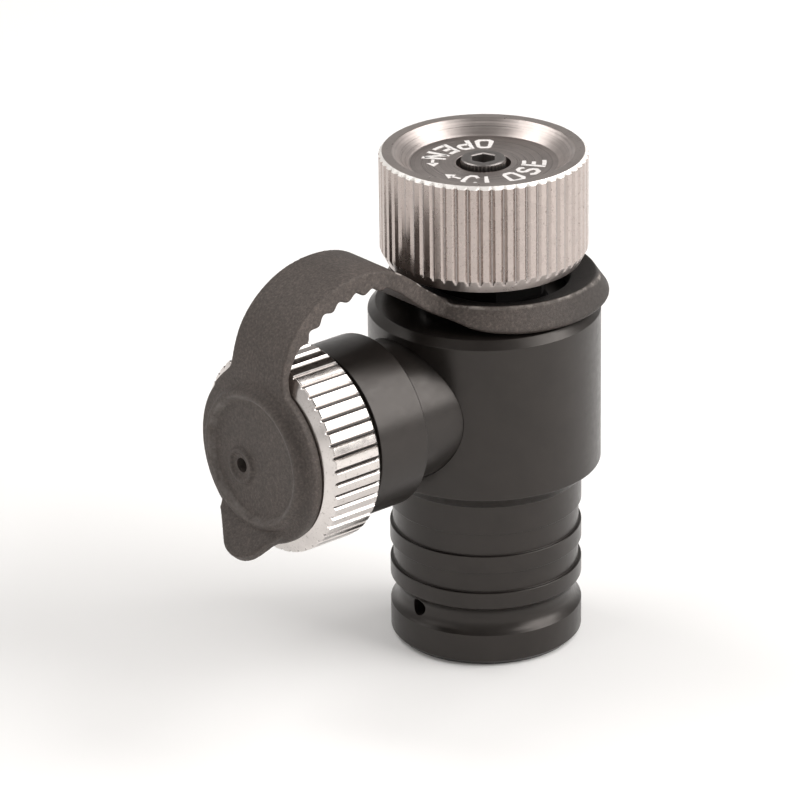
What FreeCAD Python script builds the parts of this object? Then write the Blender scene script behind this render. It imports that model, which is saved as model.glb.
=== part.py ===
import FreeCAD, Part
import os
import Sketcher
from FreeCAD import Placement, Rotation, Vector

# Compact right-angle shut-off valve with a push-in spigot, a fluted handwheel,
# a swivelling union nut on a side arm, and a tethered rubber dust cap.
#
# Frame: origin at the centre of the spigot's end face, +Z up the spindle,
# the outlet arm points along -X at the height arm_height.  Millimetres.
# Pieces on the arm are drawn in a local frame whose +X runs outwards from the
# valve's axis; their Placement turns that frame round and lifts it.

doc = FreeCAD.newDocument("angle_valve")
sheet = doc.addObject("Spreadsheet::Sheet", "Sizes")
P = {}


def size(alias, value, note):
    row = len(P) + 1
    sheet.set("A%d" % row, alias)
    sheet.set("B%d" % row, "%.6g" % value)
    sheet.set("C%d" % row, note)
    sheet.setAlias("B%d" % row, alias)
    P[alias] = float("%.6g" % value)


# --- body and spigot ---------------------------------------------------------
size("spigot_radius", 15.0, "push-in spigot")
size("spigot_chamfer", 0.9, "lead-in at the spigot's end")
size("groove_height", 7.6, "middle of the concave retention groove")
size("groove_arc_radius", 2.804, "its section's radius")
size("groove_arc_centre", 16.604, "its section's centre, from the axis")
size("band_one_low", 12.55, "lower shallow band")
size("band_one_high", 15.9, "lower shallow band")
size("band_one_radius", 14.5, "lower shallow band")
size("band_two_low", 18.8, "upper shallow band")
size("band_two_high", 22.5, "upper shallow band")
size("band_two_radius", 14.55, "upper shallow band")
size("spigot_top", 27.2, "where the cone starts")
size("cone_top", 29.7, "where the body starts")
size("body_radius", 18.0, "cylindrical body")
size("body_chamfer_low", 54.6, "start of the top chamfer")
size("body_top_radius", 16.8, "rim of the top face")
size("body_top", 55.8, "top face")
size("filter_bore_radius", 7.0, "inlet counterbore")
size("filter_bore_top", 4.6, "inlet counterbore")
size("circlip_groove_radius", 7.6, "groove for the filter's circlip")
size("circlip_groove_low", 0.9, "groove for the filter's circlip")
size("circlip_groove_high", 1.9, "groove for the filter's circlip")
size("inlet_radius", 3.5, "waterway through the spigot")
size("seat_lip_radius", 4.6, "outside of the raised seat")
size("seat_height", 38.6, "top of the raised seat")
size("chamber_floor", 36.5, "chamber round the seat")
size("chamber_radius", 8.0, "chamber, threaded for the seat carrier")
size("bonnet_ledge", 50.5, "ledge under the bonnet")
size("bonnet_bore_radius", 10.0, "tapped bore for the bonnet")
size("detent_radius", 1.35, "locating hole in the retention groove")
size("detent_depth_from", 10.4, "bottom of that hole, from the axis")
# --- arm ---------------------------------------------------------------------
size("arm_height", 42.35, "axis of the outlet")
size("port_radius", 4.0, "outlet waterway")
size("arm_socket_from", 12.5, "bottom of the arm's socket, from the axis")
size("arm_socket_radius", 11.2, "arm's socket in the body")
size("arm_neck_radius", 11.15, "neck of the arm")
size("arm_collar_from", 23.2, "collar of the arm")
size("arm_collar_radius", 13.6, "collar of the arm")
size("arm_collar_to", 34.4, "collar of the arm")
size("arm_nose_radius", 10.4, "nose inside the nut")
size("arm_nose_to", 38.2, "sealing face of the nose")
size("arm_wide_bore_from", 30.0, "where the outlet bore widens")
size("arm_wide_bore_radius", 6.0, "wide part of the outlet bore")
size("snap_groove_from", 36.65, "snap ring groove")
size("snap_groove_to", 37.75, "snap ring groove")
size("snap_groove_radius", 9.65, "snap ring groove")
size("arm_seal_major", 6.6, "face ring between arm and body")
size("arm_seal_minor", 0.8, "its section")
# --- union nut ---------------------------------------------------------------
size("nut_from", 33.9, "rear face")
size("nut_to", 43.5, "front face")
size("nut_radius", 15.5, "over the lands")
size("nut_bevel_from", 42.5, "start of the front bevel")
size("nut_bevel_radius", 13.3, "rim of the front face")
size("nut_rear_bore_radius", 13.9, "recess over the arm's collar")
size("nut_rear_bore_to", 34.9, "recess over the arm's collar")
size("nut_flange_radius", 10.6, "inner flange that the snap ring holds")
size("nut_flange_to", 36.6, "inner flange that the snap ring holds")
size("nut_thread_radius", 12.06, "G 3/4 thread at its minor diameter")
size("nut_flutes", 48, "count")
size("nut_flute_root", 15.02, "radius at the bottom of a flute")
size("nut_flute_far", 15.8, "radius where the cutter ends")
size("nut_flute_half", 0.55, "half width of the cutter there")
# --- bonnet ------------------------------------------------------------------
size("bonnet_low", 51.3, "bottom of the bonnet")
size("bonnet_thread_radius", 9.95, "thread, at its outside")
size("bonnet_cavity_radius", 8.2, "room for the raised seat carrier")
size("bonnet_cavity_top", 53.5, "room for the raised seat carrier")
size("flange_cavity_radius", 6.6, "room for the spindle's flange")
size("flange_cavity_top", 56.2, "room for the spindle's flange")
size("bonnet_neck_radius", 9.4, "round neck that the tether ring goes over")
size("bonnet_neck_top", 57.8, "round neck")
size("bonnet_hex_top", 62.6, "top of the spanner hexagon")
size("hex_half_flat", 8.0, "16 mm across flats")
size("hex_corner", 9.2376, "corner of the hexagon")
size("hex_half_side", 4.6188, "half a side of the hexagon")
size("spindle_bore_radius", 4.08, "bore for the spindle")
# --- spindle -----------------------------------------------------------------
size("tang_half_thick", 1.5, "flat tang in the seat carrier's slot")
size("tang_half_wide", 4.5, "flat tang in the seat carrier's slot")
size("tang_low", 47.1, "end of the tang")
size("spindle_flange_low", 53.9, "flange")
size("spindle_flange_high", 55.55, "flange")
size("spindle_flange_radius", 6.3, "flange")
size("spindle_radius", 4.0, "shank")
size("spindle_shoulder", 63.5, "shoulder under the handwheel")
size("spindle_top", 72.1, "end of the square")
size("square_half", 2.95, "square for the handwheel")
size("tapped_radius", 1.7, "M4 hole")
size("tapped_low", 63.9, "bottom of the M4 hole")
size("ring_one_height", 59.0, "lower spindle ring")
size("ring_two_height", 61.3, "upper spindle ring")
size("ring_major", 3.43, "spindle rings")
size("ring_minor", 0.6, "spindle rings")
size("ring_groove_radius", 2.8, "grooves for the spindle rings")
size("ring_groove_half", 0.7, "half width of those grooves")
# --- seat carrier ------------------------------------------------------------
size("carrier_low", 39.6, "holder round the seat disc")
size("carrier_shoulder", 44.5, "start of the threaded part")
size("carrier_high", 50.5, "top of the threaded part")
size("carrier_radius", 7.9, "threaded part, at its outside")
size("holder_radius", 6.2, "holder")
size("slot_half", 1.6, "slot for the tang")
size("slot_floor", 44.6, "bottom of the slot")
size("disc_low", 38.62, "face of the seat disc, closed on the seat")
size("disc_high", 40.8, "back of the seat disc")
size("disc_radius", 5.4, "seat disc")
size("seat_screw_radius", 1.25, "shank of the disc's screw")
size("seat_screw_head", 2.4, "head of the disc's screw")
size("seat_screw_low", 37.6, "face of that head")
size("seat_screw_high", 43.2, "end of that screw")
# --- handwheel ---------------------------------------------------------------
size("wheel_radius", 16.0, "over the lands")
size("wheel_low", 62.9, "bottom face of the skirt")
size("wheel_hub_low", 63.5, "bottom face of the hub, on the spindle's shoulder")
size("wheel_chamfer_high", 64.9, "end of the bottom chamfer")
size("wheel_low_radius", 15.0, "rim of the bottom face")
size("wheel_high", 80.0, "top rim")
size("wheel_rim_radius", 13.9, "inner edge of the flat rim")
size("wheel_dish_radius", 11.4, "foot of the dish's wall")
size("wheel_dish_floor", 78.2, "floor of the dish")
size("wheel_flutes", 54, "count")
size("wheel_flute_root", 15.55, "radius at the bottom of a flute")
size("wheel_flute_far", 16.3, "radius where the cutter ends")
size("wheel_flute_half", 0.52, "half width of the cutter there")
size("wheel_hollow_inner", 7.2, "hub inside the underside hollow")
size("wheel_hollow_outer", 12.8, "wall outside the underside hollow")
size("wheel_hollow_top", 73.5, "top of the underside hollow")
size("wheel_square_half", 3.0, "square hole")
size("wheel_square_top", 72.2, "end of the square hole")
size("wheel_screw_hole", 2.2, "clearance hole for the screw")
size("wheel_web_top", 75.0, "floor of the screw's counterbore")
size("wheel_cbore_radius", 4.2, "counterbore for the screw's head")
size("screw_head_radius", 3.5, "M4 socket head")
size("screw_head_top", 79.0, "M4 socket head")
size("screw_radius", 1.65, "M4 shank, at its pitch diameter")
size("screw_low", 64.3, "end of the screw")
size("socket_half_flat", 1.5, "3 mm hexagon socket")
size("socket_corner", 1.73205, "3 mm hexagon socket")
size("socket_half_side", 0.866025, "3 mm hexagon socket")
size("socket_floor", 76.7, "3 mm hexagon socket")
# --- dust cap, strap and tether ring ----------------------------------------
size("cap_back", 43.65, "back of the cap's flange")
size("cap_front", 45.3, "front of the cap's flange")
size("cap_radius", 13.45, "flange")
size("cap_ring_outer", 11.4, "foot of the raised rim")
size("cap_ring_crest", 10.4, "crest of the raised rim")
size("cap_ring_front", 46.4, "crest of the raised rim")
size("cap_ring_inner", 9.4, "inside of the raised rim")
size("cap_face", 46.0, "face inside the raised rim")
size("cap_plug_outer", 11.75, "plug in the nut's mouth")
size("cap_plug_inner", 10.4, "plug in the nut's mouth")
size("cap_plug_from", 41.0, "end of the plug")
size("cap_vent_radius", 1.2, "vent hole")
size("cap_vent_across", -3.1, "vent hole")
size("cap_vent_up", -1.95, "vent hole")
size("strap_half_width", 5.9, "strap")
size("tab_half_width", 4.1, "pull tab")
size("tether_shift", 2.2, "the loose ring rests against one side of the neck")
size("tether_inner", 11.9, "ring")
size("tether_low", 56.05, "ring")
size("tether_edge", 56.7, "widest height of the ring")
size("tether_low_radius", 17.2, "ring")
size("tether_edge_radius", 17.7, "ring")
size("tether_high_radius", 16.1, "crease between the cone and the dished top")
size("tether_high", 60.4, "height of that crease")
size("tether_inner_high", 59.3, "inner edge of the dished top")
# --- inlet filter ------------------------------------------------------------
size("filter_radius", 6.9, "rim of the inlet filter")
size("filter_low", 2.0, "rim")
size("filter_plate_low", 3.9, "perforated plate")
size("filter_high", 4.58, "perforated plate")
size("filter_hole_radius", 0.55, "holes")
doc.recompute()


def E(*terms):
    """The sum of named sizes and plain numbers, as a value and an expression."""
    value, text = 0.0, ""
    for t in terms:
        if isinstance(t, str):
            name = t.lstrip("-")
            sign = -1.0 if t.startswith("-") else 1.0
            value += sign * P[name]
            text += (" - " if sign < 0 else " + ") + "Sizes." + name
        else:
            value += t
            text += (" - " if t < 0 else " + ") + "%.6g" % abs(t)
    text = text.strip()
    if text.startswith("+"):
        text = text[1:].strip()
    return value, text


def as_pair(item):
    if isinstance(item, tuple):
        return E(*item)
    if isinstance(item, str):
        return E(item)
    return float(item), None


def plane_of(body, role):
    for feature in body.Origin.OriginFeatures:
        if feature.Role == role:
            return feature
    raise RuntimeError(role)


def new_sketch(body, name, role, offset=None):
    sk = body.newObject("Sketcher::SketchObject", name)
    sk.AttachmentSupport = [(plane_of(body, role), "")]
    sk.MapMode = "FlatFace"
    if offset is not None:
        value, text = as_pair(offset)
        sk.AttachmentOffset = Placement(Vector(0, 0, value), Rotation())
        if text:
            sk.setExpression("AttachmentOffset.Base.z", text)
    return sk


def pin(sk, geo, which, x, y):
    """Tie one point of a sketch to its two sizes."""
    for item, kind, axis in ((x, "DistanceX", -2), (y, "DistanceY", -1)):
        value, text = as_pair(item)
        if abs(value) < 1e-9 and text is None:
            sk.addConstraint(Sketcher.Constraint("PointOnObject", geo, which, axis))
        else:
            i = sk.addConstraint(Sketcher.Constraint(kind, -1, 1, geo, which, value))
            if text:
                sk.setExpression("Constraints[%d]" % i, text)


def polygon(body, name, role, points, offset=None):
    sk = new_sketch(body, name, role, offset)
    n = len(points)
    xy = [Vector(as_pair(x)[0], as_pair(y)[0], 0) for x, y in points]
    for i in range(n):
        sk.addGeometry(Part.LineSegment(xy[i], xy[(i + 1) % n]), False)
    for i in range(n):
        sk.addConstraint(Sketcher.Constraint("Coincident", i, 2, (i + 1) % n, 1))
    for i, (x, y) in enumerate(points):
        pin(sk, i, 1, x, y)
    return sk


def disc(body, name, role, x, y, radius, offset=None):
    sk = new_sketch(body, name, role, offset)
    cx, cy, value = as_pair(x)[0], as_pair(y)[0], as_pair(radius)[0]
    sk.addGeometry(Part.Circle(Vector(cx, cy, 0), Vector(0, 0, 1), value), False)
    i = sk.addConstraint(Sketcher.Constraint("Radius", 0, value))
    if as_pair(radius)[1]:
        sk.setExpression("Constraints[%d]" % i, as_pair(radius)[1])
    if abs(cx) < 1e-9 and abs(cy) < 1e-9:
        sk.addConstraint(Sketcher.Constraint("Coincident", 0, 3, -1, 1))
    else:
        pin(sk, 0, 3, x, y)
    return sk


def spin(body, sk, name, axis, cut=False, angle=360.0):
    """A revolution, or with cut a groove, about one of the sketch's axes."""
    before = body.Shape.Volume if cut else 0.0
    kind = "PartDesign::Groove" if cut else "PartDesign::Revolution"
    feature = body.newObject(kind, name)
    feature.Profile = sk
    feature.ReferenceAxis = (sk, [axis])
    feature.Angle = angle
    body.Tip = feature
    doc.recompute()
    if cut and not body.Shape.Volume < before - 1e-6:
        raise RuntimeError(name + " cut nothing")
    return feature


def pad(body, sk, name, length):
    feature = body.newObject("PartDesign::Pad", name)
    feature.Profile = sk
    value, text = as_pair(length)
    feature.Length = value
    if text:
        feature.setExpression("Length", text)
    body.Tip = feature
    doc.recompute()
    return feature


def pocket(body, sk, name, length, reverse=False):
    before = body.Shape.Volume
    feature = body.newObject("PartDesign::Pocket", name)
    feature.Profile = sk
    value, text = as_pair(length)
    feature.Length = value
    if text:
        feature.setExpression("Length", text)
    feature.Reversed = reverse
    body.Tip = feature
    doc.recompute()
    if not body.Shape.Volume < before - 1e-6:
        raise RuntimeError(name + " cut nothing")
    return feature


def ring_of(body, original, sk, name, count):
    before = body.Shape.Volume
    feature = body.newObject("PartDesign::PolarPattern", name)
    feature.Originals = [original]
    feature.Axis = (sk, ["N_Axis"])
    feature.Angle = 360.0
    value, text = as_pair(count)
    feature.Occurrences = int(value)
    if text:
        feature.setExpression("Occurrences", text)
    body.Tip = feature
    doc.recompute()
    if not body.Shape.Volume < before - 1e-6:
        raise RuntimeError(name + " repeated nothing")
    return feature


parts = {}


def new_body(label, on_arm=False):
    body = doc.addObject("PartDesign::Body", label)
    body.Label = label
    if on_arm:
        body.Placement = Placement(
            Vector(0, 0, P["arm_height"]), Rotation(Vector(0, 0, 1), 180)
        )
        body.setExpression("Placement.Base.z", "Sizes.arm_height")
    else:
        body.Placement = Placement()
    parts[label] = body
    return body


# valve_body: cylinder with an integral push-in spigot ------------------------
b = new_body("valve_body")
spin(b, polygon(b, "BodyOutline", "XZ_Plane", [
    (0, 0),
    (("spigot_radius", "-spigot_chamfer"), 0),
    ("spigot_radius", "spigot_chamfer"),
    ("spigot_radius", "band_one_low"),
    ("band_one_radius", "band_one_low"),
    ("band_one_radius", "band_one_high"),
    ("spigot_radius", "band_one_high"),
    ("spigot_radius", "band_two_low"),
    ("band_two_radius", "band_two_low"),
    ("band_two_radius", "band_two_high"),
    ("spigot_radius", "band_two_high"),
    ("spigot_radius", "spigot_top"),
    ("body_radius", "cone_top"),
    ("body_radius", "body_chamfer_low"),
    ("body_top_radius", "body_top"),
    (0, "body_top"),
]), "BodyTurned", "V_Axis")
spin(b, disc(b, "RetentionOutline", "XZ_Plane", "groove_arc_centre", "groove_height",
             "groove_arc_radius"), "RetentionGroove", "V_Axis", cut=True)
spin(b, polygon(b, "WaterwayOutline", "XZ_Plane", [
    (0, -1.0),
    ("filter_bore_radius", -1.0),
    ("filter_bore_radius", "filter_bore_top"),
    ("inlet_radius", "filter_bore_top"),
    ("inlet_radius", "seat_height"),
    ("seat_lip_radius", "seat_height"),
    ("seat_lip_radius", "chamber_floor"),
    ("chamber_radius", "chamber_floor"),
    ("chamber_radius", "bonnet_ledge"),
    ("bonnet_bore_radius", "bonnet_ledge"),
    ("bonnet_bore_radius", ("body_top", 1.0)),
    (0, ("body_top", 1.0)),
]), "Waterway", "V_Axis", cut=True)
spin(b, polygon(b, "CirclipOutline", "XZ_Plane", [
    (("filter_bore_radius", -0.5), "circlip_groove_low"),
    ("circlip_groove_radius", "circlip_groove_low"),
    ("circlip_groove_radius", "circlip_groove_high"),
    (("filter_bore_radius", -0.5), "circlip_groove_high"),
]), "CirclipGroove", "V_Axis", cut=True)
pocket(b, disc(b, "ArmSocketOutline", "YZ_Plane", 0, "arm_height", "arm_socket_radius",
               offset=("-arm_socket_from",)), "ArmSocket", 8.0)
pocket(b, disc(b, "PortOutline", "YZ_Plane", 0, "arm_height", "port_radius"),
       "Port", "arm_socket_from")
pocket(b, disc(b, "DetentOutline", "YZ_Plane", 0, "groove_height", "detent_radius",
               offset=("-detent_depth_from",)), "DetentHole", 6.0)

# side_arm: turned outlet arm, sealed in the body's socket --------------------
b = new_body("side_arm", on_arm=True)
spin(b, polygon(b, "ArmOutline", "XZ_Plane", [
    (("arm_socket_from", 0.02), "port_radius"),
    (("arm_socket_from", 0.02), "arm_neck_radius"),
    ("arm_collar_from", "arm_neck_radius"),
    ("arm_collar_from", ("arm_collar_radius", -0.3)),
    (("arm_collar_from", 0.3), "arm_collar_radius"),
    (("arm_collar_to", -0.3), "arm_collar_radius"),
    ("arm_collar_to", ("arm_collar_radius", -0.3)),
    ("arm_collar_to", "arm_nose_radius"),
    ("snap_groove_from", "arm_nose_radius"),
    ("snap_groove_from", "snap_groove_radius"),
    ("snap_groove_to", "snap_groove_radius"),
    ("snap_groove_to", "arm_nose_radius"),
    ("arm_nose_to", "arm_nose_radius"),
    ("arm_nose_to", "arm_wide_bore_radius"),
    ("arm_wide_bore_from", "arm_wide_bore_radius"),
    (("arm_wide_bore_from", -2.0), "port_radius"),
]), "ArmTurned", "H_Axis")
spin(b, polygon(b, "ArmSealOutline", "XZ_Plane", [
    (("arm_socket_from", -0.5), ("arm_seal_major", -0.95)),
    (("arm_socket_from", 1.65), ("arm_seal_major", -0.95)),
    (("arm_socket_from", 1.65), ("arm_seal_major", 0.95)),
    (("arm_socket_from", -0.5), ("arm_seal_major", 0.95)),
]), "ArmSealGroove", "H_Axis", cut=True)

# arm_seal_ring: rubber ring in the arm's end face ----------------------------
b = new_body("arm_seal_ring", on_arm=True)
spin(b, disc(b, "ArmRingSection", "XZ_Plane", ("arm_socket_from", "arm_seal_minor", 0.02),
             "arm_seal_major", "arm_seal_minor"), "ArmRing", "H_Axis")

# union_nut: fluted swivelling nut --------------------------------------------
b = new_body("union_nut", on_arm=True)
spin(b, polygon(b, "NutOutline", "XZ_Plane", [
    ("nut_from", "nut_rear_bore_radius"),
    ("nut_from", ("nut_radius", -0.5)),
    (("nut_from", 0.5), "nut_radius"),
    ("nut_bevel_from", "nut_radius"),
    ("nut_to", "nut_bevel_radius"),
    ("nut_to", ("nut_thread_radius", 0.5)),
    (("nut_to", -0.5), "nut_thread_radius"),
    ("nut_flange_to", "nut_thread_radius"),
    ("nut_flange_to", "nut_flange_radius"),
    ("nut_rear_bore_to", "nut_flange_radius"),
    ("nut_rear_bore_to", "nut_rear_bore_radius"),
]), "NutTurned", "H_Axis")
sk = polygon(b, "NutFluteOutline", "YZ_Plane", [
    ("nut_flute_root", 0),
    ("nut_flute_far", "nut_flute_half"),
    ("nut_flute_far", ("-nut_flute_half",)),
], offset=("nut_to", 0.5))
first = pocket(b, sk, "NutFlute", ("nut_to", "-nut_from", 1.0))
ring_of(b, first, sk, "NutFlutes", "nut_flutes")

# nut_snap_ring: open wire ring that keeps the nut on the nose ----------------
b = new_body("nut_snap_ring", on_arm=True)
spin(b, polygon(b, "SnapOutline", "XZ_Plane", [
    (("snap_groove_from", 0.05), ("snap_groove_radius", 0.05)),
    (("snap_groove_to", -0.05), ("snap_groove_radius", 0.05)),
    (("snap_groove_to", -0.05), ("nut_thread_radius", -0.3)),
    (("snap_groove_from", 0.05), ("nut_thread_radius", -0.3)),
]), "SnapTurned", "H_Axis", angle=332.0)

# outlet_face_seal: flat rubber washer on the nose ----------------------------
b = new_body("outlet_face_seal", on_arm=True)
spin(b, polygon(b, "FaceSealOutline", "XZ_Plane", [
    ("arm_nose_to", ("arm_wide_bore_radius", 0.2)),
    (("arm_nose_to", 1.4), ("arm_wide_bore_radius", 0.2)),
    (("arm_nose_to", 1.4), ("nut_thread_radius", -0.4)),
    ("arm_nose_to", ("nut_thread_radius", -0.4)),
]), "FaceSealTurned", "H_Axis")

# bonnet: brass gland with a spanner hexagon ----------------------------------
b = new_body("bonnet")
spin(b, polygon(b, "BonnetOutline", "XZ_Plane", [
    ("bonnet_cavity_radius", "bonnet_low"),
    ("bonnet_thread_radius", "bonnet_low"),
    ("bonnet_thread_radius", "body_top"),
    ("bonnet_neck_radius", "body_top"),
    ("bonnet_neck_radius", "bonnet_neck_top"),
    ("spindle_bore_radius", "bonnet_neck_top"),
    ("spindle_bore_radius", "flange_cavity_top"),
    ("flange_cavity_radius", "flange_cavity_top"),
    ("flange_cavity_radius", "bonnet_cavity_top"),
    ("bonnet_cavity_radius", "bonnet_cavity_top"),
]), "BonnetTurned", "V_Axis")
pad(b, polygon(b, "BonnetHexOutline", "XY_Plane", [
    ("hex_corner", 0),
    ("hex_half_side", "hex_half_flat"),
    (("-hex_half_side",), "hex_half_flat"),
    (("-hex_corner",), 0),
    (("-hex_half_side",), ("-hex_half_flat",)),
    ("hex_half_side", ("-hex_half_flat",)),
], offset=("bonnet_neck_top", -0.5)), "BonnetHex",
    ("bonnet_hex_top", "-bonnet_neck_top", 0.5))
pocket(b, disc(b, "BonnetBoreOutline", "XY_Plane", 0, 0, "spindle_bore_radius",
               offset=("bonnet_hex_top", 1.0)), "BonnetBore",
       ("bonnet_hex_top", "-flange_cavity_top", 1.5))

# bonnet_seal_ring: flat ring under the bonnet --------------------------------
b = new_body("bonnet_seal_ring")
spin(b, polygon(b, "BonnetSealOutline", "XZ_Plane", [
    (("bonnet_cavity_radius", 0.05), "bonnet_ledge"),
    ("bonnet_thread_radius", "bonnet_ledge"),
    ("bonnet_thread_radius", "bonnet_low"),
    (("bonnet_cavity_radius", 0.05), "bonnet_low"),
]), "BonnetSealTurned", "V_Axis")

# spindle: turned shank, flat tang below, square and tapped hole above --------
b = new_body("spindle")
spin(b, polygon(b, "SpindleOutline", "XZ_Plane", [
    (0, "spindle_flange_low"),
    ("spindle_flange_radius", "spindle_flange_low"),
    ("spindle_flange_radius", "spindle_flange_high"),
    ("spindle_radius", "spindle_flange_high"),
    ("spindle_radius", ("ring_one_height", "-ring_groove_half")),
    ("ring_groove_radius", ("ring_one_height", "-ring_groove_half")),
    ("ring_groove_radius", ("ring_one_height", "ring_groove_half")),
    ("spindle_radius", ("ring_one_height", "ring_groove_half")),
    ("spindle_radius", ("ring_two_height", "-ring_groove_half")),
    ("ring_groove_radius", ("ring_two_height", "-ring_groove_half")),
    ("ring_groove_radius", ("ring_two_height", "ring_groove_half")),
    ("spindle_radius", ("ring_two_height", "ring_groove_half")),
    ("spindle_radius", "spindle_shoulder"),
    (0, "spindle_shoulder"),
]), "SpindleTurned", "V_Axis")
pad(b, polygon(b, "TangOutline", "XY_Plane", [
    ("tang_half_thick", "tang_half_wide"),
    (("-tang_half_thick",), "tang_half_wide"),
    (("-tang_half_thick",), ("-tang_half_wide",)),
    ("tang_half_thick", ("-tang_half_wide",)),
], offset="tang_low"), "Tang", ("spindle_flange_low", "-tang_low", 0.5))
pad(b, polygon(b, "SquareOutline", "XY_Plane", [
    ("square_half", "square_half"),
    (("-square_half",), "square_half"),
    (("-square_half",), ("-square_half",)),
    ("square_half", ("-square_half",)),
], offset=("spindle_shoulder", -0.5)), "Square",
    ("spindle_top", "-spindle_shoulder", 0.5))
pocket(b, disc(b, "TappedOutline", "XY_Plane", 0, 0, "tapped_radius",
               offset=("spindle_top", 1.0)), "TappedHole",
       ("spindle_top", "-tapped_low", 1.0))

# thrust_washer: slippery washer over the spindle's flange --------------------
b = new_body("thrust_washer")
spin(b, polygon(b, "ThrustOutline", "XZ_Plane", [
    (("spindle_radius", 0.15), ("spindle_flange_high", 0.02)),
    ("spindle_flange_radius", ("spindle_flange_high", 0.02)),
    ("spindle_flange_radius", ("flange_cavity_top", -0.05)),
    (("spindle_radius", 0.15), ("flange_cavity_top", -0.05)),
]), "ThrustTurned", "V_Axis")

# spindle_seal_rings: two rubber rings in the spindle's grooves ---------------
tori = []
for name, height in (("LowerRing", "ring_one_height"), ("UpperRing", "ring_two_height")):
    torus = doc.addObject("Part::Torus", name)
    torus.setExpression("Radius1", "Sizes.ring_major")
    torus.setExpression("Radius2", "Sizes.ring_minor")
    torus.Placement = Placement(Vector(0, 0, P[height]), Rotation())
    torus.setExpression("Placement.Base.z", "Sizes." + height)
    tori.append(torus)
pair = doc.addObject("Part::Compound", "spindle_seal_rings")
pair.Links = tori
pair.Label = "spindle_seal_rings"
pair.Placement = Placement()
parts["spindle_seal_rings"] = pair

# seat_carrier: threaded jumper that the tang turns ---------------------------
b = new_body("seat_carrier")
spin(b, polygon(b, "CarrierOutline", "XZ_Plane", [
    ("disc_radius", "carrier_low"),
    ("holder_radius", "carrier_low"),
    ("holder_radius", "carrier_shoulder"),
    ("carrier_radius", "carrier_shoulder"),
    ("carrier_radius", "carrier_high"),
    (0, "carrier_high"),
    (0, "disc_high"),
    ("disc_radius", "disc_high"),
]), "CarrierTurned", "V_Axis")
pocket(b, polygon(b, "SlotOutline", "XY_Plane", [
    ("slot_half", ("carrier_radius", 1.0)),
    (("-slot_half",), ("carrier_radius", 1.0)),
    (("-slot_half",), ("-carrier_radius", -1.0)),
    ("slot_half", ("-carrier_radius", -1.0)),
], offset=("carrier_high", 1.0)), "Slot", ("carrier_high", "-slot_floor", 1.0))
pocket(b, disc(b, "CarrierTapOutline", "XY_Plane", 0, 0, ("seat_screw_radius", 0.02),
               offset=("seat_screw_high", 0.1)), "CarrierTap",
       ("seat_screw_high", "-disc_low"))

# seat_disc: rubber disc that closes on the seat ------------------------------
b = new_body("seat_disc")
spin(b, polygon(b, "DiscOutline", "XZ_Plane", [
    (("seat_screw_radius", 0.05), "disc_low"),
    (("disc_radius", -0.05), "disc_low"),
    (("disc_radius", -0.05), ("disc_high", -0.02)),
    (("seat_screw_radius", 0.05), ("disc_high", -0.02)),
]), "DiscTurned", "V_Axis")

# seat_screw: holds the disc in the carrier -----------------------------------
b = new_body("seat_screw")
spin(b, polygon(b, "SeatScrewOutline", "XZ_Plane", [
    (0, "seat_screw_low"),
    (("seat_screw_head", -0.3), "seat_screw_low"),
    ("seat_screw_head", ("seat_screw_low", 0.3)),
    ("seat_screw_head", ("disc_low", -0.01)),
    ("seat_screw_radius", ("disc_low", -0.01)),
    ("seat_screw_radius", "seat_screw_high"),
    (0, "seat_screw_high"),
]), "SeatScrewTurned", "V_Axis")

# handwheel: fluted, dished on top, hollow underneath -------------------------
b = new_body("handwheel")
spin(b, polygon(b, "WheelOutline", "XZ_Plane", [
    (0, "wheel_hub_low"),
    ("wheel_hollow_inner", "wheel_hub_low"),
    ("wheel_hollow_inner", "wheel_hollow_top"),
    ("wheel_hollow_outer", "wheel_hollow_top"),
    ("wheel_hollow_outer", "wheel_low"),
    ("wheel_low_radius", "wheel_low"),
    ("wheel_radius", "wheel_chamfer_high"),
    ("wheel_radius", ("wheel_high", -0.25)),
    (("wheel_radius", -0.25), "wheel_high"),
    ("wheel_rim_radius", "wheel_high"),
    ("wheel_dish_radius", "wheel_dish_floor"),
    ("wheel_cbore_radius", "wheel_dish_floor"),
    ("wheel_cbore_radius", "wheel_web_top"),
    (0, "wheel_web_top"),
]), "WheelTurned", "V_Axis")
pocket(b, disc(b, "WheelScrewHoleOutline", "XY_Plane", 0, 0, "wheel_screw_hole",
               offset=("wheel_web_top", 0.5)), "WheelScrewHole",
       ("wheel_web_top", "-wheel_square_top", 1.0))
pocket(b, polygon(b, "WheelSquareOutline", "XY_Plane", [
    ("wheel_square_half", "wheel_square_half"),
    (("-wheel_square_half",), "wheel_square_half"),
    (("-wheel_square_half",), ("-wheel_square_half",)),
    ("wheel_square_half", ("-wheel_square_half",)),
], offset="wheel_square_top"), "WheelSquare", ("wheel_square_top", "-wheel_low", 0.5))
sk = polygon(b, "WheelFluteOutline", "XY_Plane", [
    ("wheel_flute_root", 0),
    ("wheel_flute_far", "wheel_flute_half"),
    ("wheel_flute_far", ("-wheel_flute_half",)),
], offset=("wheel_high", 0.5))
first = pocket(b, sk, "WheelFlute", ("wheel_high", "-wheel_low", 1.0))
ring_of(b, first, sk, "WheelFlutes", "wheel_flutes")

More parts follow.
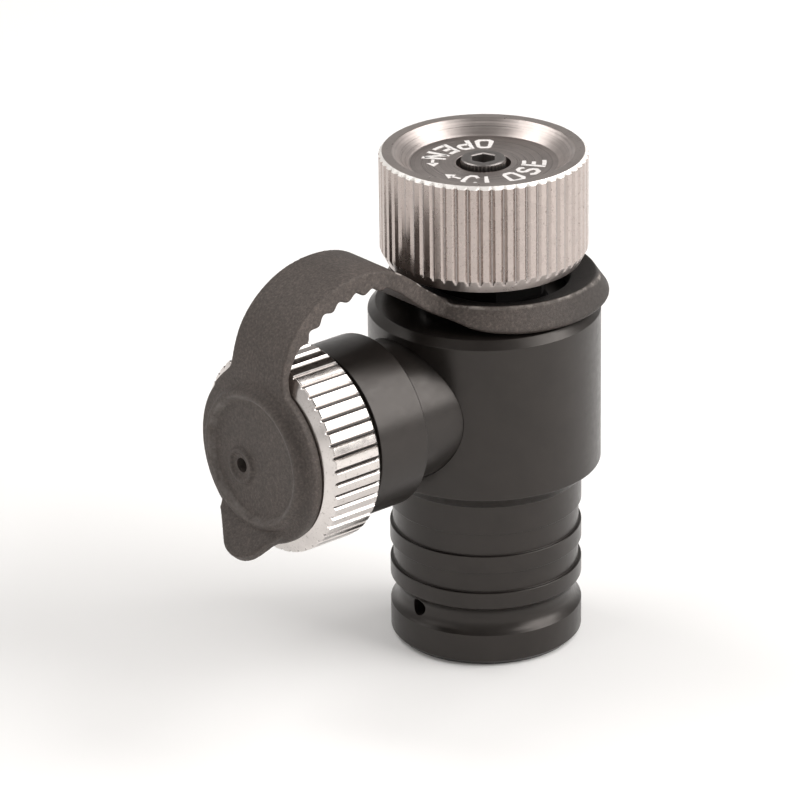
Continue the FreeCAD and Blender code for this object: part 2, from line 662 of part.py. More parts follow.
# handwheel_screw: M4 socket head screw ---------------------------------------
b = new_body("handwheel_screw")
spin(b, polygon(b, "ScrewOutline", "XZ_Plane", [
    (0, "screw_low"),
    (("screw_radius", -0.3), "screw_low"),
    ("screw_radius", ("screw_low", 0.3)),
    ("screw_radius", "wheel_web_top"),
    ("screw_head_radius", "wheel_web_top"),
    ("screw_head_radius", ("screw_head_top", -0.3)),
    (("screw_head_radius", -0.3), "screw_head_top"),
    (0, "screw_head_top"),
]), "ScrewTurned", "V_Axis")
pocket(b, polygon(b, "SocketOutline", "XY_Plane", [
    ("socket_corner", 0),
    ("socket_half_side", "socket_half_flat"),
    (("-socket_half_side",), "socket_half_flat"),
    (("-socket_corner",), 0),
    (("-socket_half_side",), ("-socket_half_flat",)),
    ("socket_half_side", ("-socket_half_flat",)),
], offset=("screw_head_top", 0.5)), "Socket", ("screw_head_top", "-socket_floor", 0.5))

# dust_cap: disc, raised rim, hollow plug, vent and pull tab ------------------
b = new_body("dust_cap", on_arm=True)
spin(b, polygon(b, "CapOutline", "XZ_Plane", [
    ("cap_back", 0),
    ("cap_back", "cap_plug_inner"),
    ("cap_plug_from", "cap_plug_inner"),
    ("cap_plug_from", ("cap_plug_outer", -0.3)),
    (("cap_plug_from", 0.3), "cap_plug_outer"),
    ("cap_back", "cap_plug_outer"),
    ("cap_back", ("cap_radius", -0.3)),
    (("cap_back", 0.3), "cap_radius"),
    (("cap_front", -0.5), "cap_radius"),
    ("cap_front", ("cap_radius", -0.5)),
    ("cap_front", "cap_ring_outer"),
    ("cap_ring_front", "cap_ring_crest"),
    ("cap_face", "cap_ring_inner"),
    ("cap_face", 0),
]), "CapTurned", "H_Axis")
pad(b, polygon(b, "TabOutline", "XZ_Plane", [
    (43.9, -11.0),
    (45.3, -11.0),
    (45.9, -12.0),
    (49.3, -15.8),
    (48.2, -16.9),
    (44.6, -13.1),
    (43.9, -12.4),
], offset=("-tab_half_width",)), "Tab", ("tab_half_width", "tab_half_width"))
pocket(b, disc(b, "VentOutline", "YZ_Plane", "cap_vent_across", "cap_vent_up",
               "cap_vent_radius", offset=("cap_face", 0.5)), "Vent", 4.0)

# cap_strap: flexible strap arched from the cap to the tether ring ------------
outer = [(-45.2, 56.1), (-44.9, 57.6), (-44.4, 59.3), (-43.6, 61.2), (-42.4, 63.0),
         (-40.8, 64.8), (-38.6, 66.4), (-36.0, 67.8), (-33.0, 68.7), (-29.5, 69.15),
         (-26.0, 69.1), (-22.8, 68.2), (-19.4, 66.0), (-16.8, 63.8), (-15.0, 62.3),
         (-13.2, 60.9)]
inner = [(-14.6, 58.7), (-16.4, 60.3), (-18.2, 61.9), (-20.4, 63.6), (-22.8, 65.1),
         (-26.4, 66.2), (-29.0, 66.4), (-32.0, 66.3), (-34.7, 65.6), (-37.0, 64.6),
         (-39.2, 63.2), (-40.9, 61.5), (-42.2, 59.7), (-43.2, 57.9), (-43.75, 56.1)]


def spline(points):
    curve = Part.BSplineCurve()
    curve.interpolate([Vector(x, 0, z) for x, z in points])
    return curve.toShape()


side = doc.addObject("Part::Feature", "StrapSide")
side.Shape = Part.Face(Part.Wire([
    spline(outer),
    Part.LineSegment(Vector(outer[-1][0], 0, outer[-1][1]),
                     Vector(inner[0][0], 0, inner[0][1])).toShape(),
    spline(inner),
    Part.LineSegment(Vector(inner[-1][0], 0, inner[-1][1]),
                     Vector(outer[0][0], 0, outer[0][1])).toShape(),
]))
strap = doc.addObject("Part::Extrusion", "cap_strap")
strap.Label = "cap_strap"
strap.Base = side
strap.DirMode = "Custom"
strap.Dir = Vector(0, 1, 0)
strap.Solid = True
strap.setExpression("LengthFwd", "Sizes.strap_half_width")
strap.setExpression("LengthRev", "Sizes.strap_half_width")
strap.Placement = Placement()
parts["cap_strap"] = strap

# strap_collar: loose rubber ring round the bonnet's neck ---------------------
b = new_body("strap_collar")
spin(b, polygon(b, "TetherOutline", "XZ_Plane", [
    ("tether_inner", "tether_low"),
    ("tether_low_radius", "tether_low"),
    ("tether_edge_radius", "tether_edge"),
    ("tether_high_radius", "tether_high"),
    ("tether_inner", "tether_inner_high"),
]), "TetherTurned", "V_Axis")
b.Placement = Placement(Vector(P["tether_shift"], 0, 0), Rotation())
b.setExpression("Placement.Base.x", "Sizes.tether_shift")

# inlet_filter: perforated strainer in the spigot's mouth ---------------------
b = new_body("inlet_filter")
spin(b, polygon(b, "FilterOutline", "XZ_Plane", [
    (0, "filter_plate_low"),
    (("filter_radius", -0.9), "filter_plate_low"),
    (("filter_radius", -0.9), "filter_low"),
    ("filter_radius", "filter_low"),
    ("filter_radius", "filter_high"),
    (0, "filter_high"),
]), "FilterTurned", "V_Axis")
for index, (reach, count) in enumerate(((1.6, 5), (3.2, 10), (4.9, 15))):
    sk = disc(b, "FilterHoleOutline%d" % index, "XY_Plane", reach, 0,
              "filter_hole_radius", offset=("filter_high", 0.5))
    first = pocket(b, sk, "FilterHole%d" % index, 2.0)
    ring_of(b, first, sk, "FilterHoles%d" % index, count)

# filter_snap_ring: internal circlip ------------------------------------------
b = new_body("filter_snap_ring")
spin(b, polygon(b, "FilterSnapOutline", "XZ_Plane", [
    (("filter_bore_radius", -1.1), ("circlip_groove_low", 0.05)),
    (("circlip_groove_radius", -0.1), ("circlip_groove_low", 0.05)),
    (("circlip_groove_radius", -0.1), ("circlip_groove_high", -0.02)),
    (("filter_bore_radius", -1.1), ("circlip_groove_high", -0.02)),
]), "FilterSnapTurned", "V_Axis", angle=325.0)

doc.recompute()
for item in doc.Objects:
    if "Invalid" in item.State or "Error" in item.State:
        raise RuntimeError("%s is in state %s" % (item.Label, item.State))
for label, item in parts.items():
    shape = item.Shape
    if shape.isNull() or not shape.isValid() or not shape.Solids:
        raise RuntimeError("%s has no valid solid" % label)

os.makedirs("parts", exist_ok=True)
for label, item in parts.items():
    item.Shape.exportStep("parts/%s.step" % label)
    box = item.Shape.BoundBox
    print("%-20s %8.1f mm3  x %.2f..%.2f  y %.2f..%.2f  z %.2f..%.2f  solids %d" % (
        label, item.Shape.Volume, box.XMin, box.XMax, box.YMin, box.YMax,
        box.ZMin, box.ZMax, len(item.Shape.Solids)))
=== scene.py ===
import bpy
import bmesh
import math
import numpy as np
from mathutils import Matrix, Vector


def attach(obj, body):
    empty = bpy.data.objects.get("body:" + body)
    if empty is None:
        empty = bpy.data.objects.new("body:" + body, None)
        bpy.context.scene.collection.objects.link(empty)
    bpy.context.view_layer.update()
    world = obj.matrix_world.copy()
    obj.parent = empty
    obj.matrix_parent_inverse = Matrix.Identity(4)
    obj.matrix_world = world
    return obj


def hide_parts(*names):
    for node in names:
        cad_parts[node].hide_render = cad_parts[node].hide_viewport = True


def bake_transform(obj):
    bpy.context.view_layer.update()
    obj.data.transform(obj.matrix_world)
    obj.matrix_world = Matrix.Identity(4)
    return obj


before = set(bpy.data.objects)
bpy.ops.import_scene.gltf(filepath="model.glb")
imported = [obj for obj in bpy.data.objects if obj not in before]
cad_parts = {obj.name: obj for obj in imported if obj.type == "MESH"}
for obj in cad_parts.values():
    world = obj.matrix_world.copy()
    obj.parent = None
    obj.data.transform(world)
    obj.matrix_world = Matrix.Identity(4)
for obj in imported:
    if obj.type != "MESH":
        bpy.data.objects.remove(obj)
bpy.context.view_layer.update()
MM = 0.001
ARM_Z = 42.35
scene = bpy.context.scene


# ---------------------------------------------------------------- mesh helpers
def mesh_object(name, verts, faces, material, sharp=32.0, smooth=True):
    me = bpy.data.meshes.new(name)
    me.from_pydata([tuple(float(c) * MM for c in v) for v in verts], [], faces)
    me.update()
    bm = bmesh.new()
    bm.from_mesh(me)
    bmesh.ops.remove_doubles(bm, verts=bm.verts, dist=1e-7)
    bmesh.ops.dissolve_degenerate(bm, edges=bm.edges, dist=1e-8)
    bmesh.ops.recalc_face_normals(bm, faces=bm.faces)
    bm.to_mesh(me)
    bm.free()
    ob = bpy.data.objects.new(name, me)
    scene.collection.objects.link(ob)
    finish_shading(ob, sharp, smooth)
    if material is not None:
        me.materials.append(material)
    return ob


def finish_shading(ob, sharp=32.0, smooth=True):
    me = ob.data
    me.polygons.foreach_set("use_smooth", [smooth] * len(me.polygons))
    if smooth:
        me.set_sharp_from_angle(angle=math.radians(sharp))
    me.update()


def apply_modifiers(ob):
    bpy.context.view_layer.update()
    deps = bpy.context.evaluated_depsgraph_get()
    new = bpy.data.meshes.new_from_object(ob.evaluated_get(deps))
    old = ob.data
    ob.modifiers.clear()
    ob.data = new
    bpy.data.meshes.remove(old)
    return ob


def rounded(points, radii, steps=5, closed=True, hold=0.04):
    """A profile with its corners rounded; a point just outside each arc keeps the flats flat."""
    pts = [np.array(p, float) for p in points]
    n = len(pts)
    out = []
    for i in range(n):
        r = radii[i] if isinstance(radii, (list, tuple)) else radii
        if (not closed and i in (0, n - 1)) or r <= 0:
            out.append(pts[i])
            continue
        a, p, c = pts[(i - 1) % n], pts[i], pts[(i + 1) % n]
        u, v = a - p, c - p
        lu, lv = np.linalg.norm(u), np.linalg.norm(v)
        u, v = u / lu, v / lv
        angle = math.acos(max(-1.0, min(1.0, float(u @ v))))
        if angle > math.pi - 0.02:
            out.append(p)
            continue
        cut = min(r / math.tan(angle / 2), 0.45 * lu, 0.45 * lv)
        rr = cut * math.tan(angle / 2)
        t1, t2 = p + u * cut, p + v * cut
        centre = p + (u + v) / np.linalg.norm(u + v) * (rr / math.sin(angle / 2))
        h = min(hold, 0.3 * (min(lu, lv) - cut))
        out.append(t1 + u * h)
        a1 = math.atan2(*(t1 - centre)[::-1])
        a2 = math.atan2(*(t2 - centre)[::-1])
        d = (a2 - a1 + math.pi) % (2 * math.pi) - math.pi
        for k in range(steps + 1):
            w = a1 + d * k / steps
            out.append(centre + rr * np.array([math.cos(w), math.sin(w)]))
        out.append(t2 + v * h)
    return out


def grid_faces(rows, cols, closed_rows, closed_cols=True):
    faces = []
    for i in range(rows if closed_rows else rows - 1):
        k = (i + 1) % rows
        for j in range(cols if closed_cols else cols - 1):
            m = (j + 1) % cols
            faces.append((i * cols + j, i * cols + m, k * cols + m, k * cols + j))
    return faces


def to_arm(s, r, theta):
    """Arm coordinates to the row frame: s outwards from the valve's axis, theta from straight up."""
    return np.stack([-s, r * np.sin(theta), ARM_Z + r * np.cos(theta)], -1)


def lathe(name, profile, material, cols=160, closed=True, arm=False, shift=(0, 0, 0),
          sharp=32.0):
    """profile is (r, z), or on the arm (s, r)."""
    prof = np.array(profile, float)
    th = np.linspace(0, 2 * math.pi, cols, endpoint=False)
    if arm:
        s = np.repeat(prof[:, :1], cols, 1)
        r = np.repeat(prof[:, 1:], cols, 1)
        v = to_arm(s, r, np.repeat(th[None], len(prof), 0)).reshape(-1, 3)
    else:
        r, z = prof[:, :1], prof[:, 1:]
        v = np.stack([r * np.cos(th), r * np.sin(th), z + 0 * th], -1).reshape(-1, 3)
    v = v + np.array(shift, float)
    return mesh_object(name, v, grid_faces(len(prof), cols, closed), material, sharp)


def cylinder(name, p, q, radius, n=48):
    """A closed cylinder from p to q, in mm, for boolean cuts."""
    p, q = np.array(p, float), np.array(q, float)
    d = (q - p) / np.linalg.norm(q - p)
    a = np.cross(d, [0, 0, 1] if abs(d[2]) < 0.9 else [1, 0, 0])
    a /= np.linalg.norm(a)
    b = np.cross(d, a)
    th = np.linspace(0, 2 * math.pi, n, endpoint=False)
    ring = radius * (np.cos(th)[:, None] * a + np.sin(th)[:, None] * b)
    v = np.concatenate([p + ring, q + ring])
    faces = [(i, (i + 1) % n, n + (i + 1) % n, n + i) for i in range(n)]
    faces += [tuple(range(n))[::-1], tuple(range(n, 2 * n))]
    return mesh_object(name, v, faces, None)


def cut(ob, *tools):
    for t in tools:
        mod = ob.modifiers.new("cut", "BOOLEAN")
        mod.operation = "DIFFERENCE"
        mod.solver = "EXACT"
        mod.object = t
    apply_modifiers(ob)
    for t in tools:
        bpy.data.objects.remove(t, do_unlink=True)
    return ob


# ---------------------------------------------------------------- materials
def new_material(name):
    m = bpy.data.materials.new(name)
    m.use_nodes = True
    nt = m.node_tree
    return m, nt, nt.nodes["Principled BSDF"]


def add(nt, kind, **props):
    node = nt.nodes.new(kind)
    for key, value in props.items():
        setattr(node, key, value)
    return node


def noise(nt, vector, scale, detail=4.0, rough=0.55, stretch=None):
    if stretch is not None:
        mapping = add(nt, "ShaderNodeMapping")
        mapping.inputs["Scale"].default_value = stretch
        nt.links.new(vector, mapping.inputs["Vector"])
        vector = mapping.outputs["Vector"]
    node = add(nt, "ShaderNodeTexNoise")
    node.inputs["Scale"].default_value = scale
    node.inputs["Detail"].default_value = detail
    node.inputs["Roughness"].default_value = rough
    nt.links.new(vector, node.inputs["Vector"])
    return node.outputs["Fac"]


def ramp(nt, value, stops):
    node = add(nt, "ShaderNodeValToRGB")
    el = node.color_ramp.elements
    while len(el) < len(stops):
        el.new(0.5)
    for e, (pos, colour) in zip(el, stops):
        e.position = pos
        e.color = (*colour, 1) if len(colour) == 3 else colour
    nt.links.new(value, node.inputs["Fac"])
    return node.outputs["Color"]


def span(nt, value, low, high, out_low, out_high):
    node = add(nt, "ShaderNodeMapRange")
    for key, number in (("From Min", low), ("From Max", high), ("To Min", out_low),
                        ("To Max", out_high)):
        node.inputs[key].default_value = number
    nt.links.new(value, node.inputs["Value"])
    return node.outputs["Result"]


def bump(nt, shader, height, strength, distance, chain=None):
    node = add(nt, "ShaderNodeBump")
    node.inputs["Strength"].default_value = strength
    node.inputs["Distance"].default_value = distance
    nt.links.new(height, node.inputs["Height"])
    if chain is not None:
        nt.links.new(chain, node.inputs["Normal"])
    nt.links.new(node.outputs["Normal"], shader.inputs["Normal"])
    return node.outputs["Normal"]


def coords(nt):
    return add(nt, "ShaderNodeTexCoord").outputs["Object"]


def turned_coords(nt, arm=False):
    """Radius, angle and height about the piece's own axis, so marks follow the lathe."""
    base = coords(nt)
    sep = add(nt, "ShaderNodeSeparateXYZ")
    nt.links.new(base, sep.inputs[0])
    along = sep.outputs["X"] if arm else sep.outputs["Z"]
    a = sep.outputs["Y"] if arm else sep.outputs["X"]
    if arm:
        sub = add(nt, "ShaderNodeMath", operation="SUBTRACT")
        nt.links.new(sep.outputs["Z"], sub.inputs[0])
        sub.inputs[1].default_value = ARM_Z * MM
        b = sub.outputs[0]
    else:
        b = sep.outputs["Y"]
    sq = []
    for x in (a, b):
        m = add(nt, "ShaderNodeMath", operation="MULTIPLY")
        nt.links.new(x, m.inputs[0])
        nt.links.new(x, m.inputs[1])
        sq.append(m.outputs[0])
    s = add(nt, "ShaderNodeMath", operation="ADD")
    nt.links.new(sq[0], s.inputs[0])
    nt.links.new(sq[1], s.inputs[1])
    r = add(nt, "ShaderNodeMath", operation="SQRT")
    nt.links.new(s.outputs[0], r.inputs[0])
    ang = add(nt, "ShaderNodeMath", operation="ARCTAN2")
    nt.links.new(b, ang.inputs[0])
    nt.links.new(a, ang.inputs[1])
    return base, r.outputs[0], ang.outputs[0], along


def combine(nt, x, y, z):
    node = add(nt, "ShaderNodeCombineXYZ")
    for i, v in enumerate((x, y, z)):
        if isinstance(v, (int, float)):
            node.inputs[i].default_value = v
        else:
            nt.links.new(v, node.inputs[i])
    return node.outputs[0]


def times(nt, value, k):
    node = add(nt, "ShaderNodeMath", operation="MULTIPLY")
    nt.links.new(value, node.inputs[0])
    node.inputs[1].default_value = k
    return node.outputs[0]


def anodised(name, arm=False, base=(0.0125, 0.0104, 0.0092), rough=0.31):
    """Black anodised aluminium: deep warm black, fine lathe lines, softly mottled sheen."""
    m, nt, s = new_material(name)
    obj, r, ang, along = turned_coords(nt, arm)
    mottled = noise(nt, obj, 260.0, 5.0)
    dark = tuple(c * 0.80 for c in base)
    light = tuple(c * 1.25 for c in base)
    nt.links.new(ramp(nt, mottled, [(0.30, dark), (0.70, light)]), s.inputs["Base Color"])
    lines = noise(nt, combine(nt, times(nt, r, 9000.0), times(nt, ang, 0.35),
                              times(nt, along, 9000.0)), 1.0, 2.0)
    nt.links.new(span(nt, noise(nt, obj, 900.0, 3.0), 0.3, 0.7, rough - 0.035, rough + 0.05),
                 s.inputs["Roughness"])
    s.inputs["Metallic"].default_value = 0.0
    s.inputs["Specular IOR Level"].default_value = 0.42
    s.inputs["Specular Tint"].default_value = (1.0, 0.93, 0.885, 1)
    s.inputs["IOR"].default_value = 1.55
    bump(nt, s, lines, 0.08, 0.00002)
    return m


def nickel(name, arm=False, base=(0.50, 0.435, 0.405), rough=0.27, grain=0.18,
           lines_strength=0.22, groove_shade=None):
    """Plated metal: warm tint, lathe marks, tiny specks of wear in the plating."""
    m, nt, s = new_material(name)
    obj, r, ang, along = turned_coords(nt, arm)
    patch = noise(nt, obj, 420.0, 5.0)
    speck = noise(nt, obj, 2600.0, 3.0, 0.7)
    tint = ramp(nt, patch, [(0.25, tuple(c * 0.90 for c in base)),
                            (0.75, tuple(min(1.0, c * 1.06) for c in base))])
    wear_and_highlight = ramp(nt, speck, [(0.30, (0.42, 0.40, 0.38)), (0.40, (1, 1, 1))])
    mix = add(nt, "ShaderNodeMix", data_type="RGBA", blend_type="MULTIPLY")
    mix.inputs["Factor"].default_value = 0.75
    nt.links.new(tint, mix.inputs["A"])
    nt.links.new(wear_and_highlight, mix.inputs["B"])
    colour = mix.outputs["Result"]
    if groove_shade is not None:
        # painted shade: the base colour darkens towards the bottom of each cut, where the shadow
        # falls
        low, high, dark = groove_shade
        depth = span(nt, r, low * MM, high * MM, 0.0, 1.0)
        painted_groove_shade = add(nt, "ShaderNodeMix", data_type="RGBA")
        nt.links.new(depth, painted_groove_shade.inputs["Factor"])
        painted_groove_shade.inputs["A"].default_value = (dark, dark * 0.93, dark * 0.9, 1)
        nt.links.new(colour, painted_groove_shade.inputs["B"])
        colour = painted_groove_shade.outputs["Result"]
    nt.links.new(colour, s.inputs["Base Color"])
    s.inputs["Metallic"].default_value = 1.0
    nt.links.new(span(nt, patch, 0.25, 0.75, rough - 0.05, rough + 0.07), s.inputs["Roughness"])
    lines = noise(nt, combine(nt, times(nt, r, 7000.0), times(nt, ang, 0.5),
                              times(nt, along, 7000.0)), 1.0, 3.0)
    first = bump(nt, s, lines, lines_strength, 0.00003)
    bump(nt, s, noise(nt, obj, 3400.0, 3.0), grain, 0.00002, chain=first)
    return m


def dish_metal(name):
    """The turned face of the dish: darker, with concentric tool marks."""
    m, nt, s = new_material(name)
    obj, r, ang, along = turned_coords(nt)
    patch = noise(nt, obj, 500.0, 5.0)
    rings = noise(nt, combine(nt, times(nt, r, 5200.0), times(nt, ang, 0.15),
                              times(nt, along, 5200.0)), 1.0, 4.0, 0.65)
    tone = ramp(nt, patch, [(0.25, (0.43, 0.385, 0.37)), (0.75, (0.53, 0.48, 0.46))])
    streak = ramp(nt, rings, [(0.30, (0.62, 0.61, 0.60)), (0.62, (1.08, 1.07, 1.06))])
    mix = add(nt, "ShaderNodeMix", data_type="RGBA", blend_type="MULTIPLY")
    mix.inputs["Factor"].default_value = 0.8
    nt.links.new(tone, mix.inputs["A"])
    nt.links.new(streak, mix.inputs["B"])
    nt.links.new(mix.outputs["Result"], s.inputs["Base Color"])
    s.inputs["Metallic"].default_value = 1.0
    s.inputs["Anisotropic"].default_value = 0.45
    nt.links.new(span(nt, rings, 0.2, 0.8, 0.22, 0.40), s.inputs["Roughness"])
    first = bump(nt, s, rings, 0.60, 0.00005)
    bump(nt, s, noise(nt, obj, 3600.0, 3.0), 0.16, 0.00002, chain=first)
    return m


def rubber(name, base=(0.0740, 0.0612, 0.0548), rough=0.56, grain=1.0, ring=False):
    """Moulded rubber: dust-flecked warm grey with a fine grain; on the ring, painted shade on the top
    face, bore and far side, and a painted highlight along the crease; on the cap, a painted highlight
    band.
    """
    m, nt, s = new_material(name)
    obj = coords(nt)
    cloud = noise(nt, obj, 140.0, 5.0)
    fine = noise(nt, obj, 2300.0, 5.0, 0.75)
    tone = ramp(nt, cloud, [(0.25, tuple(c * 0.80 for c in base)),
                            (0.75, tuple(c * 1.22 for c in base))])
    dust = ramp(nt, fine, [(0.33, (0.48, 0.48, 0.48)), (0.53, (1.0, 1.0, 1.0)),
                           (0.70, (1.85, 1.80, 1.77))])
    mix = add(nt, "ShaderNodeMix", data_type="RGBA", blend_type="MULTIPLY")
    mix.inputs["Factor"].default_value = 0.85
    nt.links.new(tone, mix.inputs["A"])
    nt.links.new(dust, mix.inputs["B"])
    colour = mix.outputs["Result"]
    if ring:
        # the cap's face is a little darker; painted shade darkens the ring's right-hand side towards
        # its far edge, where the shadow falls
        sep = add(nt, "ShaderNodeSeparateXYZ")
        nt.links.new(obj, sep.inputs[0])
        cap_tone_and_painted_shade = add(nt, "ShaderNodeMath", operation="MULTIPLY")
        nt.links.new(span(nt, sep.outputs["X"], -0.0455, -0.0438, 0.86, 1.0), cap_tone_and_painted_shade.inputs[0])
        across = add(nt, "ShaderNodeVectorMath", operation="DOT_PRODUCT")
        nt.links.new(obj, across.inputs[0])
        across.inputs[1].default_value = (0.76, -0.65, 0.0)
        nt.links.new(span(nt, across.outputs["Value"], 0.0060, 0.0140, 1.0, 0.46),
                     cap_tone_and_painted_shade.inputs[1])
        shade = add(nt, "ShaderNodeMix", data_type="RGBA", blend_type="MULTIPLY")
        shade.inputs["Factor"].default_value = 1.0
        nt.links.new(colour, shade.inputs["A"])
        t = cap_tone_and_painted_shade.outputs[0]
        nt.links.new(combine(nt, t, t, t), shade.inputs["B"])
        colour = shade.outputs["Result"]
        # distance from the loose ring's own axis, which is 2.2 mm off the valve's
        off = add(nt, "ShaderNodeMath", operation="SUBTRACT")
        nt.links.new(sep.outputs["X"], off.inputs[0])
        off.inputs[1].default_value = 2.2 * MM
        flat = combine(nt, off.outputs[0], sep.outputs["Y"], 0.0)
        length = add(nt, "ShaderNodeVectorMath", operation="LENGTH")
        nt.links.new(flat, length.inputs[0])
        r = length.outputs["Value"]
        high = span(nt, sep.outputs["Z"], 0.0588, 0.0592, 0.0, 1.0)
        below = span(nt, sep.outputs["Z"], 0.0606, 0.0612, 1.0, 0.0)
        inside = span(nt, r, 0.01585, 0.01600, 1.0, 0.0)
        near = span(nt, r, 0.01600, 0.01612, 0.0, 1.0)
        far = span(nt, r, 0.01622, 0.01640, 1.0, 0.0)

        def product(*vals):
            out = vals[0]
            for v in vals[1:]:
                n = add(nt, "ShaderNodeMath", operation="MULTIPLY")
                nt.links.new(out, n.inputs[0])
                nt.links.new(v, n.inputs[1])
                out = n.outputs[0]
            return out

        # painted shade: the ring's dished top face and its bore are darkened to near black, for the
        # shade there
        painted_top_and_bore_shade = add(nt, "ShaderNodeMix", data_type="RGBA")
        bore = span(nt, r, 0.0120, 0.0123, 1.0, 0.0)
        either = add(nt, "ShaderNodeMath", operation="MAXIMUM")
        nt.links.new(high, either.inputs[0])
        nt.links.new(bore, either.inputs[1])
        nt.links.new(product(either.outputs[0], below, inside), painted_top_and_bore_shade.inputs["Factor"])
        nt.links.new(colour, painted_top_and_bore_shade.inputs["A"])
        painted_top_and_bore_shade.inputs["B"].default_value = (0.0125, 0.0105, 0.0095, 1)
        # painted highlight: a pale line along the crease at the top face's outer edge, broken up by
        # noise
        crease_highlight_crumbs = span(nt, noise(nt, obj, 620.0, 4.0, 0.7), 0.44, 0.62, 0.12, 1.0)
        edge = add(nt, "ShaderNodeMix", data_type="RGBA")
        nt.links.new(product(high, below, near, far, crease_highlight_crumbs), edge.inputs["Factor"])
        nt.links.new(painted_top_and_bore_shade.outputs["Result"], edge.inputs["A"])
        edge.inputs["B"].default_value = (0.26, 0.235, 0.215, 1)
        # painted highlight: pale glints broken up by noise along the strap's near upper edge, only on
        # faces turned towards -y and a little up
        normal = add(nt, "ShaderNodeSeparateXYZ")
        nt.links.new(add(nt, "ShaderNodeNewGeometry").outputs["Normal"], normal.inputs[0])
        ny, nz = normal.outputs["Y"], normal.outputs["Z"]
        bits = span(nt, noise(nt, obj, 330.0, 2.0, 0.6), 0.535, 0.575, 0.0, 1.0)
        painted_glint_mask = product(span(nt, ny, -0.97, -0.85, 0.0, 1.0), span(nt, ny, -0.40, -0.20, 1.0, 0.0),
                        span(nt, nz, 0.12, 0.30, 0.0, 1.0), bits,
                        span(nt, sep.outputs["X"], -0.0240, -0.0225, 0.0, 1.0),
                        span(nt, sep.outputs["X"], -0.0152, -0.0144, 1.0, 0.0),
                        span(nt, sep.outputs["Y"], -0.0055, -0.0050, 1.0, 0.0))
        painted_glint_mix = add(nt, "ShaderNodeMix", data_type="RGBA")
        nt.links.new(painted_glint_mask, painted_glint_mix.inputs["Factor"])
        nt.links.new(edge.outputs["Result"], painted_glint_mix.inputs["A"])
        painted_glint_mix.inputs["B"].default_value = (0.36, 0.33, 0.305, 1)
        colour = painted_glint_mix.outputs["Result"]
        # painted highlight: a pale band, broken up by noise, on the inner slope of the raised ring on
        # the cap's face
        up = add(nt, "ShaderNodeMath", operation="SUBTRACT")
        nt.links.new(sep.outputs["Z"], up.inputs[0])
        up.inputs[1].default_value = ARM_Z * MM
        disc = add(nt, "ShaderNodeVectorMath", operation="LENGTH")
        nt.links.new(combine(nt, sep.outputs["Y"], up.outputs[0], 0.0), disc.inputs[0])
        cr = disc.outputs["Value"]
        ring_highlight_noise = span(nt, noise(nt, obj, 480.0, 4.0, 0.7), 0.36, 0.66, 0.10, 0.75)
        wear_and_highlight = product(span(nt, cr, 0.0092, 0.0096, 0.0, 1.0), span(nt, cr, 0.0100, 0.0104, 1.0, 0.0),
                       span(nt, sep.outputs["X"], -0.0457, -0.0455, 1.0, 0.0), ring_highlight_noise)
        painted_ring_highlight = add(nt, "ShaderNodeMix", data_type="RGBA")
        nt.links.new(wear_and_highlight, painted_ring_highlight.inputs["Factor"])
        nt.links.new(colour, painted_ring_highlight.inputs["A"])
        painted_ring_highlight.inputs["B"].default_value = (0.165, 0.150, 0.140, 1)
        colour = painted_ring_highlight.outputs["Result"]
    nt.links.new(colour, s.inputs["Base Color"])
    nt.links.new(span(nt, cloud, 0.2, 0.8, rough - 0.07, rough + 0.08), s.inputs["Roughness"])
    s.inputs["Specular IOR Level"].default_value = 0.45
    s.inputs["Specular Tint"].default_value = (1.0, 0.94, 0.90, 1)
    first = bump(nt, s, fine, grain, 0.00010)
    bump(nt, s, noise(nt, obj, 900.0, 3.0), 0.12, 0.00008, chain=first)
    return m


def simple(name, base, metallic, rough, scale=700.0, grain=0.2):
    """For the pieces inside: a base tone with fine mottling and bump."""
    m, nt, s = new_material(name)
    obj = coords(nt)
    tone = noise(nt, obj, scale, 4.0)
    nt.links.new(ramp(nt, tone, [(0.25, tuple(c * 0.85 for c in base)),
                                 (0.75, tuple(min(1.0, c * 1.1) for c in base))]),
                 s.inputs["Base Color"])
    s.inputs["Metallic"].default_value = metallic
    nt.links.new(span(nt, tone, 0.2, 0.8, rough - 0.05, rough + 0.06), s.inputs["Roughness"])
    bump(nt, s, noise(nt, obj, scale * 4, 3.0), grain, 0.00003)
    return m


M_BODY = anodised("black_anodised_body")
M_ARM = anodised("black_anodised_arm", arm=True)
# painted shade: the wheel's flutes darken towards their bottoms
M_WHEEL = nickel("satin_nickel_wheel", groove_shade=(15.53, 15.76, 0.42))
# painted highlight: a bright, rough nickel on the wheel's top edge stands in for the light caught
# there
M_EDGE_HIGHLIGHT = nickel("painted_highlight_edge", base=(0.97, 0.93, 0.90), rough=0.60)
M_RIM = nickel("satin_nickel_rim", base=(0.50, 0.445, 0.42), rough=0.30)
M_DISH = dish_metal("turned_dish")
# painted shade: the nut's flutes darken to near black towards their bottoms
M_NUT = nickel("polished_nickel_nut", arm=True, base=(0.66, 0.62, 0.595), rough=0.17,
               grain=0.07, lines_strength=0.10, groove_shade=(15.02, 15.42, 0.05))
M_BEVEL = nickel("polished_nickel_bevel", arm=True, base=(0.70, 0.66, 0.635), rough=0.15,
                 grain=0.05, lines_strength=0.10)
M_RUBBER = rubber("cap_rubber", ring=True)
M_SEAL = rubber("seal_rubber", base=(0.022, 0.022, 0.022), rough=0.55, grain=0.15)
M_BRASS = simple("machined_brass", (0.62, 0.43, 0.17), 1.0, 0.28)
M_STEEL = simple("stainless_steel", (0.55, 0.55, 0.56), 1.0, 0.26)
M_BLACK = simple("blackened_steel", (0.27, 0.252, 0.243), 1.0, 0.34, 2600.0, 0.7)
# painted shade: the neck is made near black with little reflection, for the shade in the gap under
# the wheel
M_NECK_SHADE = simple("black_neck_painted_shade", (0.006, 0.0055, 0.0052), 0.0, 0.55)
M_NECK_SHADE.node_tree.nodes["Principled BSDF"].inputs["Specular IOR Level"].default_value = 0.12
M_SLIP = simple("white_slip_plastic", (0.78, 0.78, 0.75), 0.0, 0.45)
M_INK = simple("white_enamel", (0.86, 0.83, 0.81), 0.0, 0.42, 1800.0, 0.3)


